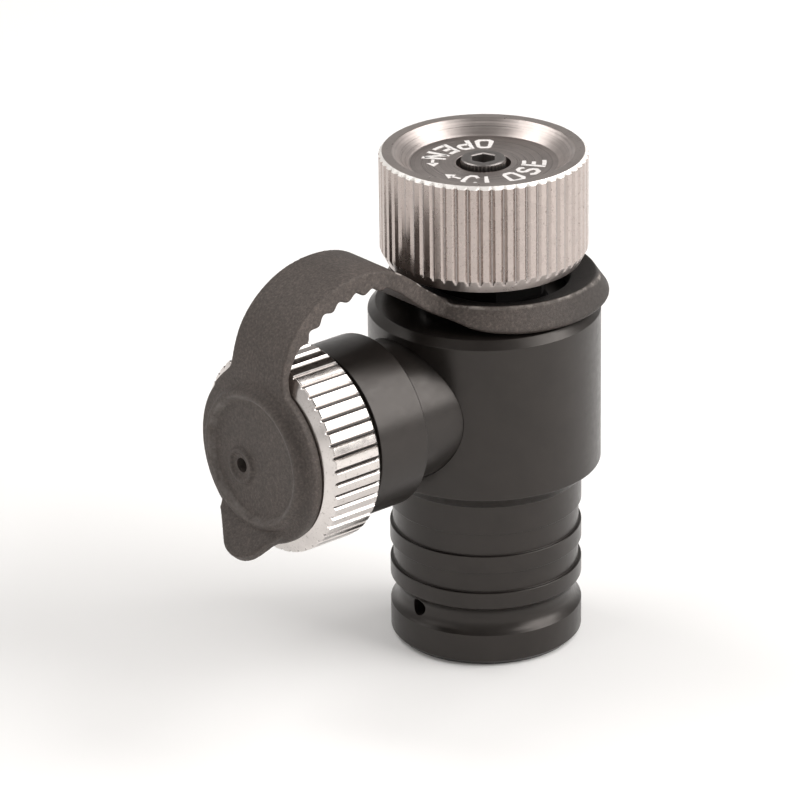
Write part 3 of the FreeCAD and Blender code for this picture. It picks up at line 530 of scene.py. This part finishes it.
# ---------------------------------------------------------------- valve body
def body_profile():
    R = 2.804
    cx, cz = 16.604, 7.6
    half = math.acos((cx - 15.0) / R)
    arc = [(cx - R * math.cos(a), cz + R * math.sin(a))
           for a in np.linspace(-half, half, 25)]
    low = rounded([(7.0, 0.0), (14.1, 0.0), (15.0, 0.9), arc[0]], [0, 0.18, 0.22, 0],
                  closed=False)
    edge = 0.12
    a0, a1 = arc[0], arc[-1]
    up = rounded([a1, (15, 12.55), (14.5, 12.55), (14.5, 15.9), (15, 15.9), (15, 18.8),
                  (14.55, 18.8), (14.55, 22.5), (15, 22.5), (15, 27.2), (18, 29.7),
                  (18, 54.6), (16.8, 55.8), (10.0, 55.8)],
                 [0, edge, 0.08, 0.08, edge, edge, 0.08, 0.08, edge, 0.35, 0.30, 0.22,
                  0.15, 0], closed=False)
    soft = []
    for k, p in enumerate(arc[1:-1]):
        soft.append(np.array(p))
    outer = low[:-1] + [np.array([15.0, a0[1] - 0.10]), np.array([14.985, a0[1] - 0.02])] \
        + soft + [np.array([14.985, a1[1] + 0.02]), np.array([15.0, a1[1] + 0.10])] + up[1:]
    inner = [(10.0, 50.5), (8.0, 50.5), (8.0, 36.5), (4.6, 36.5), (4.6, 38.6), (3.5, 38.6),
             (3.5, 4.6), (7.0, 4.6), (7.0, 1.9), (7.6, 1.9), (7.6, 0.9), (7.0, 0.9)]
    return outer + [np.array(p) for p in inner]


body = lathe("body_shell", body_profile(), M_BODY, cols=256)
cut(body,
    cylinder("t1", (-12.5, 0, ARM_Z), (-24, 0, ARM_Z), 11.22, 128),
    cylinder("t2", (-5, 0, ARM_Z), (-20, 0, ARM_Z), 4.0),
    cylinder("t3", (-10.4, 0, 7.6), (-20, 0, 7.6), 1.35, 40))
body.data.materials.clear()
body.data.materials.append(M_BODY)
finish_shading(body, 30.0)
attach(body, "valve")
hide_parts("valve_body")

# ---------------------------------------------------------------- side arm
arm = lathe("outlet_arm", rounded([
    (12.52, 4.0), (12.52, 11.15), (23.2, 11.15), (23.2, 13.6), (32.3, 13.6), (32.3, 12.6),
    (34.4, 12.6), (34.4, 10.4),
    (36.65, 10.4), (36.65, 9.65), (37.75, 9.65), (37.75, 10.4), (38.2, 10.4), (38.2, 6.0),
    (30.0, 6.0), (28.0, 4.0)],
    [0.05, 0.1, 0.12, 0.22, 0.15, 0.1, 0.1, 0.1, 0.05, 0.05, 0.05, 0.05, 0.1, 0.1, 0.1,
     0.1]),
    M_ARM, cols=200, arm=True)
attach(arm, "valve")
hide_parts("side_arm")


# ---------------------------------------------------------------- fluted pieces
def flute_columns(count, radius, depth, share):
    """Angles round a fluted rim, and how deep the cutter reaches at each."""
    pitch = 2 * math.pi / count
    half = pitch * share / 2
    local = [(-0.5 * pitch, 0.0), (-0.5 * pitch + (0.5 * pitch - half) * 0.5, 0.0),
             (-half * 1.12, 0.0), (-half, 0.0), (-half * 0.55, 0.47), (-half * 0.12, 0.93),
             (half * 0.12, 0.93), (half * 0.55, 0.47), (half, 0.0), (half * 1.12, 0.0),
             (0.5 * pitch - (0.5 * pitch - half) * 0.5, 0.0)]
    th, d = [], []
    for k in range(count):
        for a, w in local:
            th.append(k * pitch + a)
            d.append(w * depth)
    return np.array(th), radius - np.array(d)


def profile_radius(points, at):
    z = np.array([p[1] for p in points])
    r = np.array([p[0] for p in points])
    return np.interp(at, z, r)


# handwheel: fluted outside, flat rim, dish, counterbore, square hole, hollow below
th, flute = flute_columns(54, 16.0, 0.47, 0.52)
edge = rounded([(15.0, 62.9), (16.0, 64.9), (16.0, 79.72), (15.50, 80.25)],
               [0, 0.25, 0.05, 0], closed=False)
z_rows = np.unique(np.round(np.concatenate([
    np.linspace(62.9, 65.3, 25), [65.6, 68, 71, 74, 77, 79.0, 79.6, 79.72, 79.85, 80.0, 80.12, 80.25],
    [p[1] for p in edge]]), 4))
R = [np.minimum(profile_radius(edge, z), flute) for z in z_rows]
Z = [np.full(len(th), z) for z in z_rows]
top = rounded([(15.35, 80.25), (13.95, 80.25), (11.4, 78.2), (4.2, 78.2), (4.2, 75.0),
               (2.2, 75.0), (2.2, 72.2)], [0, 0.22, 0.45, 0.12, 0.1, 0.05, 0], closed=False)
under = rounded([(14.8, 62.9), (12.8, 62.9), (12.8, 73.5), (7.2, 73.5), (7.2, 63.5),
                 (4.3, 63.5)], [0, 0.25, 0.6, 0.6, 0.25, 0], closed=False)
for r, z in top:
    # the rim's top and the dish are plain turned rings
    R.append(np.full(len(th), r))
    Z.append(np.full(len(th), z))
square = []
c, sn = np.abs(np.cos(th)), np.abs(np.sin(th))
sq = 3.0 / np.maximum(c, sn)
R.append(sq * 1.0)
Z.append(np.full(len(th), 72.2))
R.append(sq * 1.0)
Z.append(np.full(len(th), 63.5))
for r, z in under[::-1]:
    R.append(np.full(len(th), max(r, 0)))
    Z.append(np.full(len(th), z))
R, Z = np.array(R), np.array(Z)
v = np.stack([R * np.cos(th), R * np.sin(th), Z], -1).reshape(-1, 3)
wheel = mesh_object("fluted_handwheel", v, grid_faces(len(R), len(th), True), M_WHEEL, 30.0)
wheel.data.materials.append(M_DISH)
wheel.data.materials.append(M_RIM)
wheel.data.materials.append(M_EDGE_HIGHLIGHT)
for p in wheel.data.polygons:
    cz = p.center.z / MM
    cr = math.hypot(p.center.x, p.center.y) / MM
    if 77.0 < cz < 80.2 and cr < 14.2:
        p.material_index = 1
    # painted highlight: the thin top edge faces take the bright edge material
    elif cz > 79.71 and cr > 15.3 and p.normal.z < 0.93:
        p.material_index = 3
    elif cz > 79.85 or cr < 15.2 or abs(cr - (15.0 + (cz - 62.9) * 0.5)) < 0.06:
        p.material_index = 2
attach(wheel, "handwheel")
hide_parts("handwheel")

# union nut: fluted swivel nut with a broad polished front bevel
th, flute = flute_columns(48, 15.5, 0.52, 0.40)
prof = rounded([(15.0, 33.9), (15.5, 34.4), (15.5, 42.5), (13.3, 43.5)],
               [0, 0.15, 0.25, 0], closed=False)
s_rows = np.unique(np.round(np.concatenate([
    np.linspace(33.9, 34.9, 8), [36, 38, 40, 41.5], np.linspace(42.0, 43.5, 26),
    [p[1] for p in prof]]), 4))
S, R = [], []
for s in s_rows:
    S.append(np.full(len(th), s))
    R.append(np.minimum(profile_radius(prof, s), flute))
inside = rounded([(43.5, 12.6), (43.0, 12.06), (36.6, 12.06), (36.6, 10.6), (34.9, 10.6),
                  (34.9, 13.9), (33.9, 13.9)], [0.1, 0.05, 0.05, 0.1, 0.1, 0.05, 0.1],
                 closed=False)
turns = []
for k in range(6):
    turns += [(43.0 - k * 1.05, 12.06), (42.62 - k * 1.05, 12.62), (42.45 - k * 1.05, 12.62)]
inside = inside[:2] + [np.array(p) for p in turns] + [np.array([36.7, 12.06])] + \
    [p for p in inside if p[0] < 36.66]
for s, r in inside:
    S.append(np.full(len(th), s))
    R.append(np.full(len(th), r))
S, R = np.array(S), np.array(R)
v = to_arm(S, R, np.repeat(th[None], len(S), 0)).reshape(-1, 3)
nut = mesh_object("fluted_union_nut", v, grid_faces(len(S), len(th), True), M_NUT, 30.0)
nut.data.materials.append(M_BEVEL)
for p in nut.data.polygons:
    # the turned bevel and the bore take the plain polished material, without the flutes' painted
    # shade
    cr = math.hypot(p.center.y / MM, p.center.z / MM - ARM_Z)
    cs = -p.center.x / MM
    if cr < 14.85 or (cs > 42.5 and cr < 15.5 - (cs - 42.5) * 2.2 + 0.12):
        p.material_index = 1
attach(nut, "union_nut")
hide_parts("union_nut")

# ---------------------------------------------------------------- socket screw
n = 144
th = np.linspace(0, 2 * math.pi, n, endpoint=False)
knurl = 0.22 * (0.5 + 0.5 * np.cos(36 * th))
prof = [(1.65, 64.6), (1.65, 75.0), (3.2, 75.0), (3.5, 75.15), (3.5, 78.52), (3.42, 78.78),
        (3.25, 78.94), (3.0, 79.0)]
R, Z = [np.full(n, 0.0), np.full(n, 1.35)], [np.full(n, 64.3), np.full(n, 64.3)]
for r, z in prof:
    R.append(np.full(n, r) - (knurl if r > 3.3 and z < 78.6 else 0))
    Z.append(np.full(n, z))
six = (th + math.radians(10)) % (math.pi / 3) - math.pi / 6
hexr = 1.72 / np.cos(six)
for k, z in ((1.22, 79.0), (1.08, 78.94), (1.0, 78.8), (1.0, 76.7)):
    R.append(hexr * k)
    Z.append(np.full(n, z))
R.append(np.full(n, 0.0))
Z.append(np.full(n, 76.3))
R, Z = np.array(R), np.array(Z)
v = np.stack([R * np.cos(th), R * np.sin(th), Z], -1).reshape(-1, 3)
screw = mesh_object("socket_screw", v, grid_faces(len(R), n, False), M_BLACK, 32.0)
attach(screw, "handwheel")
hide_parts("handwheel_screw")


# ---------------------------------------------------------------- lettering
STROKES = {
    "O": [[(0.2, 0), (0.8, 0), (1, 0.13), (1, 0.87), (0.8, 1), (0.2, 1), (0, 0.87),
           (0, 0.13), (0.2, 0)]],
    "P": [[(0, -0.1), (0, 1.1)], [(0.1, 1), (0.8, 1), (1, 0.88), (1, 0.55), (0.8, 0.43),
                                  (0.1, 0.43)]],
    "E": [[(0, -0.1), (0, 1.1)], [(0.1, 0), (1.1, 0)], [(0.1, 1), (1.1, 1)],
          [(0.1, 0.52), (0.85, 0.52)]],
    "N": [[(0, -0.1), (0, 1.1)], [(1, -0.1), (1, 1.1)], [(0.05, 0.98), (0.95, 0.02)]],
    "C": [[(1, 0.2), (0.75, 0), (0.25, 0), (0, 0.22), (0, 0.78), (0.25, 1), (0.75, 1),
           (1, 0.8)]],
    "L": [[(0, 1), (0, 0), (1, 0)]],
    "S": [[(0, 0.16), (0.25, 0), (0.75, 0), (1, 0.18), (1, 0.36), (0.75, 0.5), (0.25, 0.54),
           (0, 0.68), (0, 0.84), (0.25, 1), (0.75, 1), (1, 0.84)]],
    ">": [[(-0.35, 0.5), (0.55, 0.5)]],
    "<": [[(1.35, 0.5), (0.45, 0.5)]],
}


def stroke_prism(points, width, place, low, high, verts, faces):
    """A flat band with square ends along a run of points, mapped by place(u, v)."""
    pts = [np.array(p, float) for p in points]
    fine = []
    for a, b in zip(pts[:-1], pts[1:]):
        k = max(1, int(np.linalg.norm(b - a) / 0.30))
        fine += [a + (b - a) * i / k for i in range(k)]
    fine.append(pts[-1])
    n = len(fine)
    closed = np.linalg.norm(fine[0] - fine[-1]) < 1e-6
    left, right = [], []
    for i, p in enumerate(fine):
        if closed:
            a = fine[(i - 1) % (n - 1)] if i else fine[n - 2]
            b = fine[1] if i == n - 1 else fine[i + 1]
        else:
            a, b = fine[max(0, i - 1)], fine[min(n - 1, i + 1)]
        d1 = p - a if np.linalg.norm(p - a) > 1e-9 else b - p
        d2 = b - p if np.linalg.norm(b - p) > 1e-9 else p - a
        d1, d2 = d1 / np.linalg.norm(d1), d2 / np.linalg.norm(d2)
        m = np.array([-(d1 + d2)[1], (d1 + d2)[0]])
        m = m / max(1e-9, np.linalg.norm(m))
        k = 1 / max(0.45, float(m @ np.array([-d1[1], d1[0]])))
        off = m * width / 2 * k
        left.append(p + off)
        right.append(p - off)
    base = len(verts)
    for l, r in zip(left, right):
        for q, z in ((l, high), (r, high), (r, low), (l, low)):
            x, y = place(*q)
            verts.append((x, y, z))
    for i in range(n - 1):
        for k in range(4):
            a, b = base + 4 * i + k, base + 4 * i + (k + 1) % 4
            faces.append((a, b, b + 4, a + 4))
    if not closed:
        faces.append(tuple(base + k for k in range(4)))
        faces.append(tuple(base + 4 * (n - 1) + k for k in range(4))[::-1])


def word(text, start_deg, step_deg, r_low, height, width, bold, verts, faces):
    """Letters round the dish: tops towards the centre, reading counter-clockwise."""
    for i, ch in enumerate(text):
        mid = math.radians(start_deg + step_deg * i)
        r_mid = r_low - height / 2
        if ch == " ":
            continue
        w, hgt, lift = width, height, 0.0
        for run in STROKES[ch]:
            pts = [((u - 0.5) * w, q * hgt + lift) for u, q in run]

            def place(a, b, mid=mid):
                rr = r_low - b
                ang = mid + a / r_mid
                return rr * math.cos(ang), rr * math.sin(ang)

            stroke_prism(pts, bold if ch not in "<>" else 0.46, place, 78.195, 78.245,
                         verts, faces)
        if ch in "<>":
            way = 1 if ch == ">" else -1
            base = len(verts)
            tri = [(way * 1.35, height / 2), (way * -0.15, height / 2 + 0.95),
                   (way * -0.15, height / 2 - 0.95)]
            for z in (78.245, 78.195):
                for a, b in tri:
                    rr, ang = r_low - b, mid + a / r_mid
                    verts.append((rr * math.cos(ang), rr * math.sin(ang), z))
            faces += [(base, base + 1, base + 2), (base + 5, base + 4, base + 3)]
            faces += [(base + k, base + (k + 1) % 3, base + 3 + (k + 1) % 3, base + 3 + k)
                      for k in range(3)]


verts, faces = [], []
LETTER = dict(height=3.1, width=1.95, bold=0.64)
word("OPEN>", 48, 23.6, 9.3, LETTER["height"], LETTER["width"], LETTER["bold"], verts, faces)
word("<CLOSE", 190, 24.8, 9.3, LETTER["height"], LETTER["width"], LETTER["bold"], verts, faces)
letters = mesh_object("wheel_lettering", verts, faces, M_INK, 32.0)
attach(letters, "handwheel")


# ---------------------------------------------------------------- rubber moulding
def catmull(points, per=8):
    p = np.array(points, float)
    p = np.vstack([2 * p[0] - p[1], p, 2 * p[-1] - p[-2]])
    out = []
    for i in range(1, len(p) - 2):
        for k in range(per):
            t = k / per
            out.append(0.5 * ((2 * p[i]) + (-p[i - 1] + p[i + 1]) * t
                              + (2 * p[i - 1] - 5 * p[i] + 4 * p[i + 1] - p[i + 2]) * t * t
                              + (-p[i - 1] + 3 * p[i] - 3 * p[i + 1] + p[i + 2]) * t ** 3))
    out.append(p[-2])
    return np.array(out)


def strap_mesh():
    outer = catmull([(-45.3, 50.0), (-45.3, 53.0), (-45.15, 56.1), (-44.9, 57.6),
                     (-44.4, 59.3), (-43.6, 61.3), (-42.4, 63.2), (-40.8, 65.0),
                     (-38.6, 66.7), (-36.0, 68.1), (-33.0, 69.0), (-29.5, 69.4),
                     (-26.0, 69.1), (-22.8, 68.1), (-19.4, 65.9), (-16.8, 63.7),
                     (-15.0, 62.2), (-13.2, 60.9), (-11.8, 60.05), (-10.6, 59.5)], 10)
    d = np.gradient(outer, axis=0)
    d /= np.linalg.norm(d, axis=1)[:, None]
    normal = np.stack([d[:, 1], -d[:, 0]], 1)      # towards the inside of the arch
    length = np.concatenate([[0], np.cumsum(np.linalg.norm(np.diff(outer, axis=0), axis=1))])
    x = outer[:, 0]
    total = length[-1]
    thick = np.interp(length, [0, 3, 7, 10, 14, 24, 34, 44, total - 6, total - 2, total],
                      [1.5, 1.5, 1.55, 1.9, 2.5, 2.7, 2.7, 2.75, 2.8, 2.9, 2.6])
    half = np.interp(length, [0, 1.5, 3, 5, 7, 40, total - 3, total],
                     [9.2, 8.2, 7.2, 6.3, 5.9, 5.9, 5.95, 6.2])
    left = np.interp(length, [0, 1.5, 2, 3, 3.6, 4.8, 5.5, 6.5, 7, 40, total - 3, total],
                     [10.6, 10.0, 9.7, 8.8, 8.2, 6.85, 6.25, 5.95, 5.9, 5.9, 5.95, 6.2])
    inner_x = outer[:, 0] + normal[:, 0] * thick
    ribs = np.where((length > 12) & (length < 36),
                    0.5 - 0.5 * np.cos((length - 12) * 2 * math.pi / 3.9), 0.0)
    fade = np.interp(length, [11, 14, 31, 37], [0, 1, 1, 0])
    verts = []
    cols = 0
    for i in range(len(outer)):
        t = thick[i] + 0.85 * ribs[i] * fade[i]
        w, v = half[i], left[i]
        sec = rounded([(-w, 0), (v, 0), (v, t), (-w, t)], [0.16, 0.16, 0.35, 0.35], steps=3,
                      hold=0.02)
        cols = len(sec)
        # towards the end the strap follows the loose ring's crease in plan
        curl = float(np.interp(length[i], [total - 9, total], [0.0, 1.0])) ** 1.5
        for a, b in sec:
            q = outer[i] + normal[i] * b
            verts.append((q[0] + curl * (14.0 - math.sqrt(196.0 - a * a)), a, q[1]))
    faces = grid_faces(len(outer), cols, False)
    faces.append(tuple(range(cols))[::-1])
    faces.append(tuple(range((len(outer) - 1) * cols, len(outer) * cols)))
    return verts, faces


sv, sf = strap_mesh()
strap = mesh_object("strap_raw", sv, sf, None)

cap_profile = rounded([
    (43.65, 0.0), (43.65, 10.4), (41.0, 10.4), (41.0, 11.75), (43.65, 11.75), (43.65, 13.45),
    (45.25, 13.45), (45.35, 11.55), (46.7, 10.85), (46.7, 10.05), (45.85, 9.35),
    (45.85, 0.0)],
    [0, 0.2, 0.2, 0.3, 0.1, 0.35, 0.35, 0.30, 0.30, 0.35, 0.35, 0], closed=False)
cap = lathe("cap_raw", cap_profile, None, cols=200, closed=False, arm=True)


def tab_mesh():
    """Pull tab under the cap: flares outwards and ends in a round tip."""
    path = catmull([(44.35, -9.0), (44.35, -10.6), (44.75, -12.05), (45.9, -13.55),
                    (47.35, -15.1), (48.6, -16.45)], 8)
    verts = []
    cols = 0
    n = len(path)
    length = np.concatenate([[0], np.cumsum(np.linalg.norm(np.diff(path, axis=0), axis=1))])
    d = np.gradient(path, axis=0)
    d /= np.linalg.norm(d, axis=1)[:, None]
    total = length[-1]
    for i in range(n):
        left = total - length[i]
        tip = math.sqrt(max(0.02, 1 - max(0.0, 1 - left / 3.3) ** 2))
        w = tip * float(np.interp(length[i], [0, 1.6, 3.1, 4.0, 5.0, 6.2, 7.2, 9.0],
                                  [8.4, 7.8, 7.35, 6.5, 5.5, 4.6, 4.2, 4.1]))
        side = float(np.interp(length[i], [0, 1.6, 3.1, 5.0, 7.2, 9.0],
                               [0.3, 1.0, 1.35, 1.35, 0.95, 0.85]))
        push = float(np.interp(length[i], [0, 1.6, 3.1, 5.0], [0.22, 0.35, 0.60, 0.70]))
        t = 0.85
        nrm = np.array([d[i][1], -d[i][0]])
        sec = rounded([(-w, -t), (w, -t), (w, t), (-w, t)], 0.35, steps=3, hold=0.02)
        cols = len(sec)
        for a, b in sec:
            q = path[i] + nrm * b
            verts.append((-q[0] - push, a + side, ARM_Z + q[1] + 1.0))
    faces = grid_faces(n, cols, False)
    faces.append(tuple(range(cols))[::-1])
    faces.append(tuple(range((n - 1) * cols, n * cols)))
    return verts, faces


tv, tf = tab_mesh()
tab = mesh_object("tab_raw", tv, tf, None)

def ring_mesh():
    """The loose ring: a cone with a dished top, its lower edge drawn up towards the strap."""
    prof = rounded([(11.6, 56.05), (17.15, 56.05), (17.75, 56.7), (16.15, 60.45),
                    (15.75, 60.40), (11.6, 59.2)], [0.3, 0.2, 0.45, 0.08, 0.08, 0.25])
    cols = 288
    verts = []
    for r, z in prof:
        for j in range(cols):
            beta = -180 + 360 * j / cols
            lift = np.interp(abs(beta), [0, 6, 15, 22, 29, 34, 38, 46, 60, 75, 180],
                             [2.5, 2.4, 2.1, 1.85, 1.45, 1.05, 0.75, 0.4, 0.1, 0, 0])
            share = min(1.0, max(0.0, (60.2 - z) / 4.0))
            # the cone keeps its slope, so the drawn-up edge stands a little further in
            rr = r - (0.36 * lift * share if r > 14 else 0.0)
            # away from the strap the cone is a little steeper
            steep = float(np.interp(abs(beta), [110, 135, 160, 180], [0, 0.55, 1.25, 1.35]))
            if r > 14 and z > 56.5:
                rr -= steep * min(1.0, (z - 56.5) / 3.9)
            w = math.radians(beta)
            verts.append((2.2 - rr * math.cos(w), -rr * math.sin(w), z + lift * share))
    return verts, grid_faces(len(prof), cols, True)


rv, rf = ring_mesh()
ring = mesh_object("ring_raw", rv, rf, None)

# a plain round boss moulded round the vent hole
boss = []
for k in range(25):
    w = 2 * math.pi * k / 24
    boss.append((2.45 + 0.42 * math.cos(w), 0.42 * math.sin(w)))
verts, cols = [], 64
for r, h in boss[:-1]:
    for j in range(cols):
        w = 2 * math.pi * j / cols
        verts.append((-45.95 - h, 3.1 + r * math.cos(w), 40.4 + r * math.sin(w)))
boss = mesh_object("boss_raw", verts, grid_faces(24, cols, True), None)


def join(name, *obs):
    bm = bmesh.new()
    for o in obs:
        bm.from_mesh(o.data)
        bpy.data.objects.remove(o, do_unlink=True)
    me = bpy.data.meshes.new(name)
    bm.to_mesh(me)
    bm.free()
    ob = bpy.data.objects.new(name, me)
    scene.collection.objects.link(ob)
    return ob


moulding = join("tethered_cap", strap, cap, tab, ring, boss)
mod = moulding.modifiers.new("voxels", "REMESH")
mod.mode = "VOXEL"
mod.voxel_size = (0.00020)
mod.use_smooth_shade = True
apply_modifiers(moulding)
mod = moulding.modifiers.new("soften", "SMOOTH")
mod.factor = 0.5
mod.iterations = 3
apply_modifiers(moulding)
# the strap runs out into the ring without a step
blendzone = moulding.vertex_groups.new(name="junction")
for v in moulding.data.vertices:
    x, y, z = v.co[0] / MM, abs(v.co[1]) / MM, v.co[2] / MM
    d = math.sqrt(((x + 11.0) / 3.4) ** 2 + ((y - 6.6) / 2.4) ** 2 + ((z - 59.2) / 2.4) ** 2)
    if d < 1.5:
        blendzone.add([v.index], min(1.0, (1.5 - d) / 0.8), "REPLACE")
mod = moulding.modifiers.new("run_out", "SMOOTH")
mod.factor = 0.5
mod.iterations = 40
mod.vertex_group = "junction"
apply_modifiers(moulding)
moulding.vertex_groups.clear()
cut(moulding, cylinder("t4", (-47.5, 3.1, 40.4), (-44.2, 3.1, 40.4), 1.15, 48))
moulding.data.materials.clear()
moulding.data.materials.append(M_RUBBER)
finish_shading(moulding, 60.0)
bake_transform(moulding)
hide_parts("cap_strap", "dust_cap", "strap_collar")

# ---------------------------------------------------------------- pieces inside
INSIDE = {
    "arm_seal_ring": M_SEAL, "bonnet": M_NECK_SHADE, "bonnet_seal_ring": M_SEAL,
    "spindle": M_BRASS, "spindle_seal_rings": M_SEAL, "thrust_washer": M_SLIP,
    "seat_carrier": M_BRASS, "seat_disc": M_SEAL, "seat_screw": M_STEEL,
    "nut_snap_ring": M_STEEL, "outlet_face_seal": M_SEAL, "inlet_filter": M_STEEL,
    "filter_snap_ring": M_STEEL,
}
for node, material in INSIDE.items():
    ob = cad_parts[node]
    if not ob.material_slots:
        ob.data.materials.append(material)
    for sl in ob.material_slots:
        sl.material = material

# ---------------------------------------------------------------- studio
world = bpy.data.worlds.new("studio")
scene.world = world
world.use_nodes = True
nt = world.node_tree
bg = nt.nodes["Background"]
tc = add(nt, "ShaderNodeTexCoord")
sep = add(nt, "ShaderNodeSeparateXYZ")
nt.links.new(tc.outputs["Generated"], sep.inputs[0])
sky = ramp(nt, span(nt, sep.outputs["Z"], -1.0, 1.0, 0.0, 1.0), [
    (0.0, (0.70, 0.69, 0.68)), (0.5, (0.95, 0.93, 0.915)), (0.60, (0.52, 0.51, 0.50)),
    (0.70, (0.40, 0.39, 0.38)), (0.82, (0.32, 0.312, 0.305)), (1.0, (0.20, 0.195, 0.19))])
nt.links.new(sky, bg.inputs["Color"])
bg.inputs["Strength"].default_value = 1.0


def floor():
    me = bpy.data.meshes.new("floor")
    me.from_pydata([(-4, -4, 0), (4, -4, 0), (4, 4, 0), (-4, 4, 0)], [], [(0, 1, 2, 3)])
    ob = bpy.data.objects.new("floor", me)
    scene.collection.objects.link(ob)
    m, nt, s = new_material("pale_floor")
    s.inputs["Base Color"].default_value = (0.955, 0.95, 0.945, 1)
    s.inputs["Roughness"].default_value = 0.85
    s.inputs["Specular IOR Level"].default_value = 0.1
    me.materials.append(m)


floor()


def softbox(name, at, aim, size_x, size_y, power, colour=(1, 0.985, 0.97)):
    data = bpy.data.lights.new(name, "AREA")
    data.shape = "RECTANGLE"
    data.size, data.size_y = size_x, size_y
    data.energy = power
    data.color = colour
    ob = bpy.data.objects.new(name, data)
    ob.location = at
    ob.rotation_euler = (Vector(aim) - Vector(at)).to_track_quat("-Z", "Y").to_euler()
    scene.collection.objects.link(ob)
    return ob


CENTRE = (-0.012, 0, 0.04)
softbox("key_right", (0.46, -0.66, 0.56), CENTRE, 0.75, 0.75, 8.5)
softbox("fill_left", (-0.72, 0.20, 0.62), CENTRE, 0.55, 0.55, 1.6)
softbox("top_right", (0.50, -0.12, 0.80), CENTRE, 0.42, 0.42, 2.3)
softbox("top_back", (-0.20, 0.48, 0.80), CENTRE, 0.42, 0.42, 2.3)

cam_data = bpy.data.cameras.new("camera")
cam_data.sensor_width = 36.0
cam_data.lens = 235.58
cam_data.clip_start = 0.01
cam_data.clip_end = 20.0
cam = bpy.data.objects.new("camera", cam_data)
scene.collection.objects.link(cam)
cam.matrix_world = Matrix((
    (0.76141102, 0.26723398, -0.59062616, -0.489873),
    (-0.64815534, 0.29672616, -0.70131893, -0.561232),
    (-0.01216202, 0.91680946, 0.3991397, 0.363142),
    (0, 0, 0, 1)))
scene.camera = cam
scene.view_settings.view_transform = "Standard"
scene.view_settings.look = "None"
